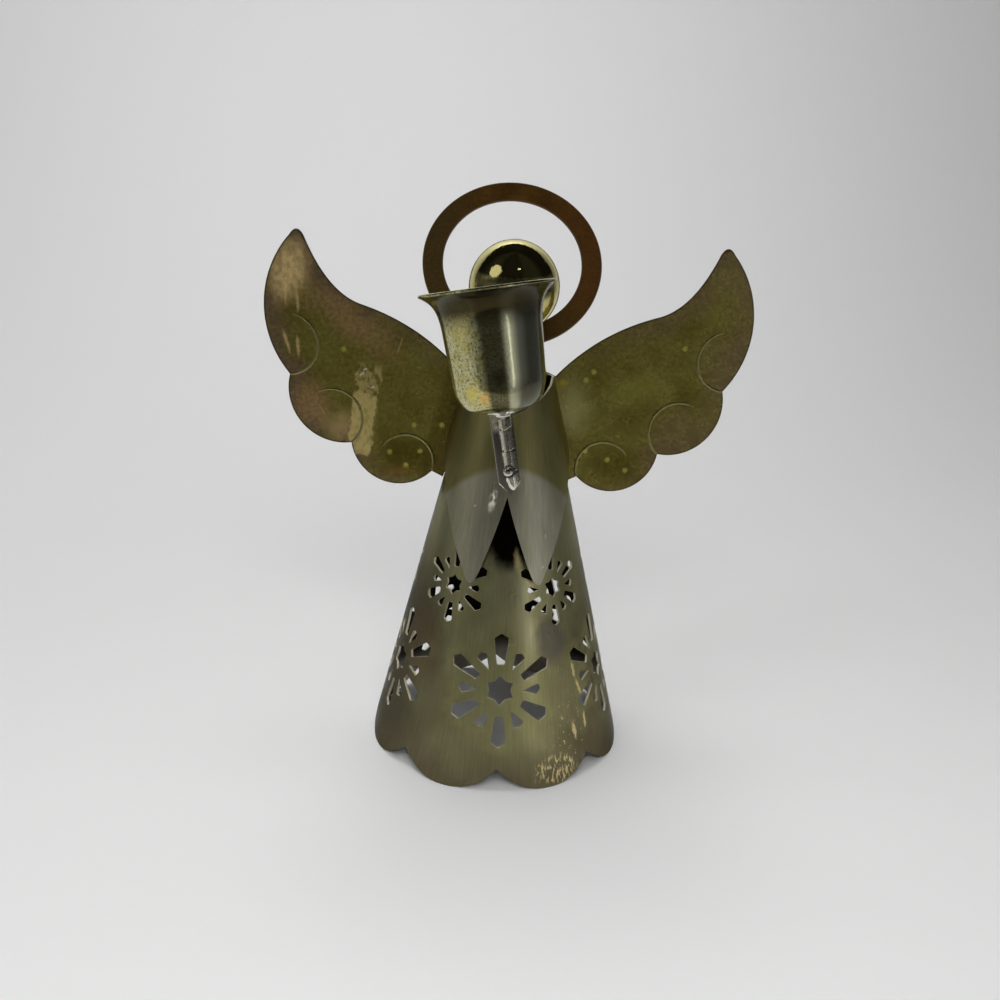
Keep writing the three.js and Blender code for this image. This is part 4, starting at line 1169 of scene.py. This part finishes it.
def make_halo():
    half = STEM_WIDTH / 2
    centre = (0.0, HALO_RADIUS)
    corner = math.asin(half / HALO_RADIUS)
    bottom = -(STEM_RISE + WING_RIVET_DROPS[1]) / math.cos(MANTLE_SLANT) - half
    ring = arc(centre, HALO_RADIUS, -math.pi / 2 + corner, 1.5 * math.pi - corner, 180)
    stem = arc((0.0, bottom), half, math.pi, 2 * math.pi, 16)
    hole = arc(centre, HALO_RADIUS - HALO_BAND, 0, 2 * math.pi, 150)[:-1]
    sheet = cut_sheet(ring + stem, [hole], (1.2, 0.8))
    front = halo_front()
    return sheet_piece("halo_sheet", "halo", [front, front, CUT_BROWN], sheet, on_halo)


# Turned pieces

def ball_profile():
    start = math.asin(SCREW_HOLE / HEAD_RADIUS)
    floor = -HEAD_RADIUS * math.cos(start)
    profile = [(0.0, floor + SCREW_DEPTH), (SCREW_HOLE, floor + SCREW_DEPTH)]
    for turn in spread(start, math.pi, 64):
        across = HEAD_RADIUS * math.sin(turn) if turn < math.pi else 0.0
        profile.append((across, -HEAD_RADIUS * math.cos(turn)))
    return profile


def make_head():
    place = Matrix.Translation((0, AXIS_Y, HEAD_HEIGHT))
    return new_piece("head_ball", "head", "head", [head_gold()], *turned(ball_profile(), BALL_STEPS, place))


def cup_profile():
    """Closed section of the bell: floor, outside, round lip and inside."""
    outer = CANDLE_RADIUS + CUP_WALL
    inner_foot = CANDLE_RADIUS - CUP_TAPER
    outer_foot = outer - CUP_TAPER
    hole = RIVET_SHANK + HOLE_GAP
    lip = (CUP_RIM_RADIUS - LIP_RADIUS, CUP_HEIGHT - LIP_RADIUS)
    straight_top = CUP_HEIGHT - CUP_FLARE
    flare_end = (lip[0] + LIP_RADIUS * 0.3, lip[1] - LIP_RADIUS * 0.95)
    outside = [CUP_HEIGHT - CUP_FLARE * share for share in FLARE_OUTSIDE]
    within = [CUP_HEIGHT - CUP_FLARE * share for share in FLARE_INSIDE]
    profile = [(hole, 0.0), (CUP_FLOOR_RADIUS, 0.0)]
    profile += bend(profile[-1], (outer_foot - CUP_TAPER, CUP_CORNER / 6), (outer_foot, CUP_CORNER), 12)
    for t in spread(0, 1, 6)[1:]:
        profile.append((outer - CUP_TAPER * (1 - t), CUP_CORNER + (straight_top - CUP_CORNER) * t))
    profile += curve_points((outer, straight_top), (outer + CUP_WALL / 2, outside[0]),
                            (CUP_RIM_RADIUS - CUP_FLARE / 3, outside[1]), flare_end)
    profile += arc(lip, LIP_RADIUS, math.radians(-60), math.radians(150), 12)
    profile += curve_points(profile[-1], (CUP_RIM_RADIUS - CUP_FLARE * 0.4, within[0]),
                            (CANDLE_RADIUS + CUP_WALL / 2, within[1]), (CANDLE_RADIUS, straight_top))
    profile.append((inner_foot, CUP_CORNER))
    profile += bend(profile[-1], (inner_foot - CUP_TAPER, CUP_WALL + CUP_CORNER / 10),
                    (CUP_FLOOR_RADIUS - CUP_WALL / 2, CUP_WALL), 12)
    profile += [(hole, CUP_WALL), (hole, 0.0)]
    return profile


def make_cup():
    body = turned(cup_profile(), BALL_STEPS, CUP_PLACE)
    return new_piece("cup_bell", "candle_cup", "cup", [cup_front()], *body)


def rivet_profile(bottom, top, shank, head):
    """Domed head above the grip, a shank, and a spread end below."""
    profile = [(0.0, bottom - RIVET_RISE), (head * 0.75, bottom - RIVET_RISE)]
    profile += bend(profile[-1], (head, bottom - RIVET_RISE), (head, bottom - RIVET_RISE / 2), 4)
    profile += [(head, bottom), (shank, bottom), (shank, top), (head, top)]
    dome = top + RIVET_RISE
    profile += curve_points((head, top), (head, top + RIVET_RISE * 0.6), (head * 0.6, dome), (0.0, dome), 10)
    return profile


def along(point, direction):
    """Matrix that sets +Z along a direction at a point."""
    return Matrix.Translation(point) @ direction.to_track_quat("Z", "Y").to_matrix().to_4x4()


def make_rivet(name, node, profile, place):
    return new_piece(name, node, "rivet", [RIVET_SILVER], *turned(profile, RIVET_STEPS, place))


def make_rivets():
    pivot = rivet_profile(-SHEET - SEAT, SEAT + ARM_SHEET + SEAT, PIVOT_SHANK, PIVOT_HEAD)
    make_rivet("pivot_stud", "pivot_rivet", pivot, along(PIVOT, PIVOT_AXIS))
    cup = rivet_profile(-2 * SEAT - ARM_SHEET, CUP_WALL + SEAT, RIVET_SHANK, RIVET_HEAD)
    make_rivet("cup_stud", "cup_rivet", cup, CUP_PLACE)
    for where, drop in zip(("upper", "lower"), WING_RIVET_DROPS):
        height = MANTLE_TOP - drop
        clear = (mantle_radius(height) - SHEET - skirt_radius(height)) * math.cos(SLANT)
        bottom = -2 * SHEET - clear - RIVET_SLACK
        profile = rivet_profile(bottom, 3 * SEAT + 2 * SHEET, RIVET_SHANK, RIVET_HEAD)
        place = along(Vector((0, AXIS_Y + mantle_radius(height), height)), BACK_AXIS)
        make_rivet(f"{where}_wing_stud", f"{where}_wing_rivet", profile, place)


# Arm

def bead_radius(s, rise):
    """Radius of the beaded spine at a distance s up the strip from the pivot."""
    if s < 0:
        end = math.sqrt(max(0.0, 1 - (s / (SHEET - ARM_FOOT)) ** 2))
        return SPINE_RADIUS * end * (1 - GROOVE_DEPTH * ease(s, -0.5, 0))
    part = (s / (rise / BEADS)) % 1.0
    groove = 1 - GROOVE_DEPTH * (1 - ease(part, 0.0, 0.05)) - GROOVE_DEPTH * ease(part, 0.9, 1.0)
    return SPINE_RADIUS * groove * (1 - BEAD_SWELL * (1 - part))


def arm_height(x, s, rise):
    """Height of the strip's front above its back at a place on it."""
    radius = bead_radius(s, rise) * (1 - ease(s, rise - SPINE_FADE[0], rise - SPINE_FADE[1]))
    hump = math.sqrt(max(0.0, radius ** 2 - (x - SPINE_OFFSET) ** 2))
    if math.hypot(x, s) < PIVOT_HEAD + SEAT:
        hump = 0.0
    return max(ARM_SHEET, hump)


def arm_sections():
    """Cross-sections of the strip from its point up to the bend and along the tab under the cup."""
    up = Vector((0, math.sin(MANTLE_SLANT), math.cos(MANTLE_SLANT)))
    start = PIVOT + PIVOT_AXIS * SEAT
    corner = (CUP_FLOOR - SEAT - start.z) / up.z
    turn = math.pi / 2 + MANTLE_SLANT
    straight = corner - BEND_RADIUS * math.tan(turn / 2)
    stations = [(s, 0.0, 0.0) for s in spread(0.05 - ARM_FOOT, straight, 150)]
    stations += [(straight, angle, 0.0) for angle in spread(0, turn, 12)[1:]]
    tab = CUP_REACH + TAB_RADIUS - (AXIS_Y - start.y - up.y * corner) - BEND_RADIUS * math.tan(turn / 2)
    stations += [(straight, turn, ahead) for ahead in spread(0, tab - 0.03, 40)[1:]]
    sections = []
    for s, angle, ahead in stations:
        ridge = Matrix.Rotation(angle, 3, "X")
        along_strip, out = ridge @ up, ridge @ PIVOT_AXIS
        centre = start + up * s + PIVOT_AXIS * BEND_RADIUS
        place = centre - out * BEND_RADIUS + along_strip * ahead
        half = ARM_WIDTH / 2
        if angle == 0.0:
            half = min(half, 0.03 + (s + ARM_FOOT) * half / ARM_POINT)
        left = tab - ahead - TAB_RADIUS
        if ahead > 0.0 and left < math.sqrt(TAB_RADIUS ** 2 - half ** 2):
            half = math.sqrt(max(0.01, TAB_RADIUS ** 2 - left ** 2))
        front = []
        for share in spread(-1, 1, 28):
            x = share * half
            rise = arm_height(x, s, straight) if angle == 0.0 else ARM_SHEET
            soft = ARM_CHAMFER if abs(share) == 1 else 0.0
            front.append(place + Vector((x, 0, 0)) + out * (rise - soft))
        back = [place + Vector((share * half, 0, 0)) for share in spread(1, -1, 6)]
        sections.append(front + back)
    return sections


def make_arm():
    points, faces, uvs = lofted(arm_sections())
    points = [LEAN @ point for point in points]
    return new_piece("arm_strip", "cup_arm", "arm", [ARM_SILVER], points, faces, uvs)


# Pieces inside, kept as they are in the frame

def dress(node, material):
    """Gives a CAD node its finish and the coordinates that the finish reads."""
    mesh = frame["nodes"][node].data
    mesh.materials.clear()
    mesh.materials.append(material)
    layer = mesh.uv_layers.new(name=PATTERN)
    for loop in mesh.loops:
        place = mesh.vertices[loop.vertex_index].co / MM
        layer.data[loop.index].uv = (place.x + place.y, place.z)


make_skirt()
make_mantle()
make_wings()
make_halo()
make_head()
make_cup()
make_rivets()
make_arm()
for inner in ("neck_plate", "neck_screw", "upper_spacer", "lower_spacer"):
    dress(inner, INNER_STEEL)


# Studio in metres; the room's light is a grey level at degrees round from the front
# times one at heights up a unit sphere
FLOOR_HALF = 1.4
FLOOR_FRONT = -0.19
SWEEP_START = 0.3
SWEEP_RADIUS = 0.5
WALL_TOP = 1.3
PAPER = (0.68, 0.68, 0.68)
BACKGROUND = (0.63, 0.63, 0.63)
ROOM_HEIGHTS = ((0.07, 1.0), (0.15, 0.45), (0.26, 0.45), (0.36, 0.05))
ROOM_LIGHT = ((-180, 0.2), (-100, 0.12), (-74, 0.42), (-52, 0.38), (-42, 0.21), (17, 0.21), (30, 0.4),
              (58, 0.4), (82, 0.12), (180, 0.2))


def make_floor():
    """Pale paper on the table that sweeps up behind the object."""
    profile = [(FLOOR_FRONT, 0.0), (0.0, 0.0), (SWEEP_START, 0.0)]
    for turn in spread(0, math.pi / 2, 24)[1:]:
        profile.append((SWEEP_START + SWEEP_RADIUS * math.sin(turn), SWEEP_RADIUS * (1 - math.cos(turn))))
    profile.append((SWEEP_START + SWEEP_RADIUS, WALL_TOP))
    points = [(x, y, z) for y, z in profile for x in (-FLOOR_HALF, FLOOR_HALF)]
    faces = [(2 * i, 2 * i + 1, 2 * i + 3, 2 * i + 2) for i in range(len(profile) - 1)]
    mesh = bpy.data.meshes.new("paper_sweep")
    mesh.from_pydata(points, [], faces)
    mesh.shade_smooth()
    paper = bpy.data.materials.new("paper")
    paper.use_nodes = True
    shader = paper.node_tree.nodes["Principled BSDF"]
    shader.inputs["Base Color"].default_value = (*PAPER, 1.0)
    shader.inputs["Roughness"].default_value = 0.85
    mesh.materials.append(paper)
    floor = bpy.data.objects.new("paper_sweep", mesh)
    bpy.context.scene.collection.objects.link(floor)


def make_world():
    """Room seen by the metal: dim ahead where the camera stands, dark above, paler to both sides.

    The camera itself sees plain paper past the sweep.
    """
    world = bpy.data.worlds.new("studio")
    bpy.context.scene.world = world
    world.use_nodes = True
    tree = world.node_tree
    toward = add_node(tree, "ShaderNodeTexCoord").outputs["Generated"]
    x, y, z = add_node(tree, "ShaderNodeSeparateXYZ", {0: toward}).outputs
    ahead = add_node(tree, "ShaderNodeMath", {0: y, 1: -1.0}, operation="MULTIPLY").outputs[0]
    turn = add_node(tree, "ShaderNodeMath", {0: x, 1: ahead}, operation="ARCTAN2").outputs[0]
    inputs = {"Value": turn, "From Min": -math.pi, "From Max": math.pi}
    share = add_node(tree, "ShaderNodeMapRange", inputs).outputs["Result"]
    room = ramp(tree, share, [((degrees + 180) / 360, [light] * 3) for degrees, light in ROOM_LIGHT])
    height = add_node(tree, "ShaderNodeMapRange", {"Value": z, "From Min": -1.0}).outputs["Result"]
    level = ramp(tree, height, [((rise + 1) / 2, [light] * 3) for rise, light in ROOM_HEIGHTS])
    inputs = {0: 1.0, 6: room, 7: level}
    dim = add_node(tree, "ShaderNodeMix", inputs, data_type="RGBA", blend_type="MULTIPLY")
    camera_ray = add_node(tree, "ShaderNodeLightPath").outputs["Is Camera Ray"]
    inputs = {0: camera_ray, 6: dim.outputs[2], 7: BACKGROUND}
    seen = add_node(tree, "ShaderNodeMix", inputs, data_type="RGBA")
    feed_socket(tree, tree.nodes["Background"].inputs["Color"], seen.outputs[2])


def make_lamp(name, place, target, size, power, glossy, height=0.0):
    """Round lamp, or an upright strip if a height is given; some are left out of what the metal mirrors."""
    data = bpy.data.lights.new(name, "AREA")
    data.shape = "RECTANGLE" if height else "DISK"
    data.size = size
    data.size_y = height or size
    data.energy = power
    lamp = bpy.data.objects.new(name, data)
    lamp.location = place
    lamp.rotation_mode = "QUATERNION"
    lamp.rotation_quaternion = (Vector(target) - Vector(place)).to_track_quat("-Z", "Y")
    lamp.visible_glossy = glossy
    bpy.context.scene.collection.objects.link(lamp)


def make_lamps():
    """Soft lamps for the paper and the dull halo, and small ones for the glints on the metal."""
    make_lamp("key", (-1.0, -0.85, 1.45), (0, 0, 0.05), size=0.7, power=3.7, glossy=False)
    make_lamp("fill", (0.0, -0.3, 0.28), (0, -0.06, 0), size=0.2, power=0.8, glossy=False)
    make_lamp("top", (-0.15, 0.3, 1.3), (-0.15, 0.85, 0.35), size=1.0, power=13.0, glossy=False)
    make_lamp("window", (-0.8, -0.5, 0.7), (0, 0, 0.12), size=0.56, power=0.56, glossy=True)
    make_lamp("strip", (0.52, -0.73, 0.11), (0, 0, 0.11), size=0.025, power=0.12, glossy=True, height=0.5)
    make_lamp("bulb", (0.2, -0.95, 1.0), (0, 0, 0.12), size=0.05, power=0.04, glossy=True)


# Camera of the photograph: a wide lens close to the object, slightly turned and rolled
CAMERA_DISTANCE = 0.22
CAMERA_HEIGHT = 0.126
CAMERA_PITCH = math.radians(14.4)
CAMERA_YAW = math.radians(2.0)
CAMERA_ROLL = math.radians(2.6)
CAMERA_LENS = 28.8
CAMERA_SHIFT = -0.0045


def make_camera():
    data = bpy.data.cameras.new("camera")
    data.lens = CAMERA_LENS
    data.sensor_width = 36.0
    data.shift_x = CAMERA_SHIFT
    data.clip_start = 0.01
    camera = bpy.data.objects.new("camera", data)
    ahead = Vector((math.sin(CAMERA_YAW), math.cos(CAMERA_YAW), 0))
    axis = Vector((0, AXIS_Y * MM, CAMERA_HEIGHT))
    look = ahead * math.cos(CAMERA_PITCH) - Vector((0, 0, math.sin(CAMERA_PITCH)))
    right = ahead.cross(Vector((0, 0, 1)))
    up = right.cross(look)
    rolled_right = right * math.cos(CAMERA_ROLL) + up * math.sin(CAMERA_ROLL)
    rolled_up = up * math.cos(CAMERA_ROLL) - right * math.sin(CAMERA_ROLL)
    turn = Matrix((rolled_right, rolled_up, -look)).transposed()
    camera.matrix_world = Matrix.Translation(axis - ahead * CAMERA_DISTANCE) @ turn.to_4x4()
    bpy.context.scene.collection.objects.link(camera)
    bpy.context.scene.camera = camera


make_floor()
make_world()
make_lamps()
make_camera()
bpy.context.scene.view_settings.view_transform = "Standard"
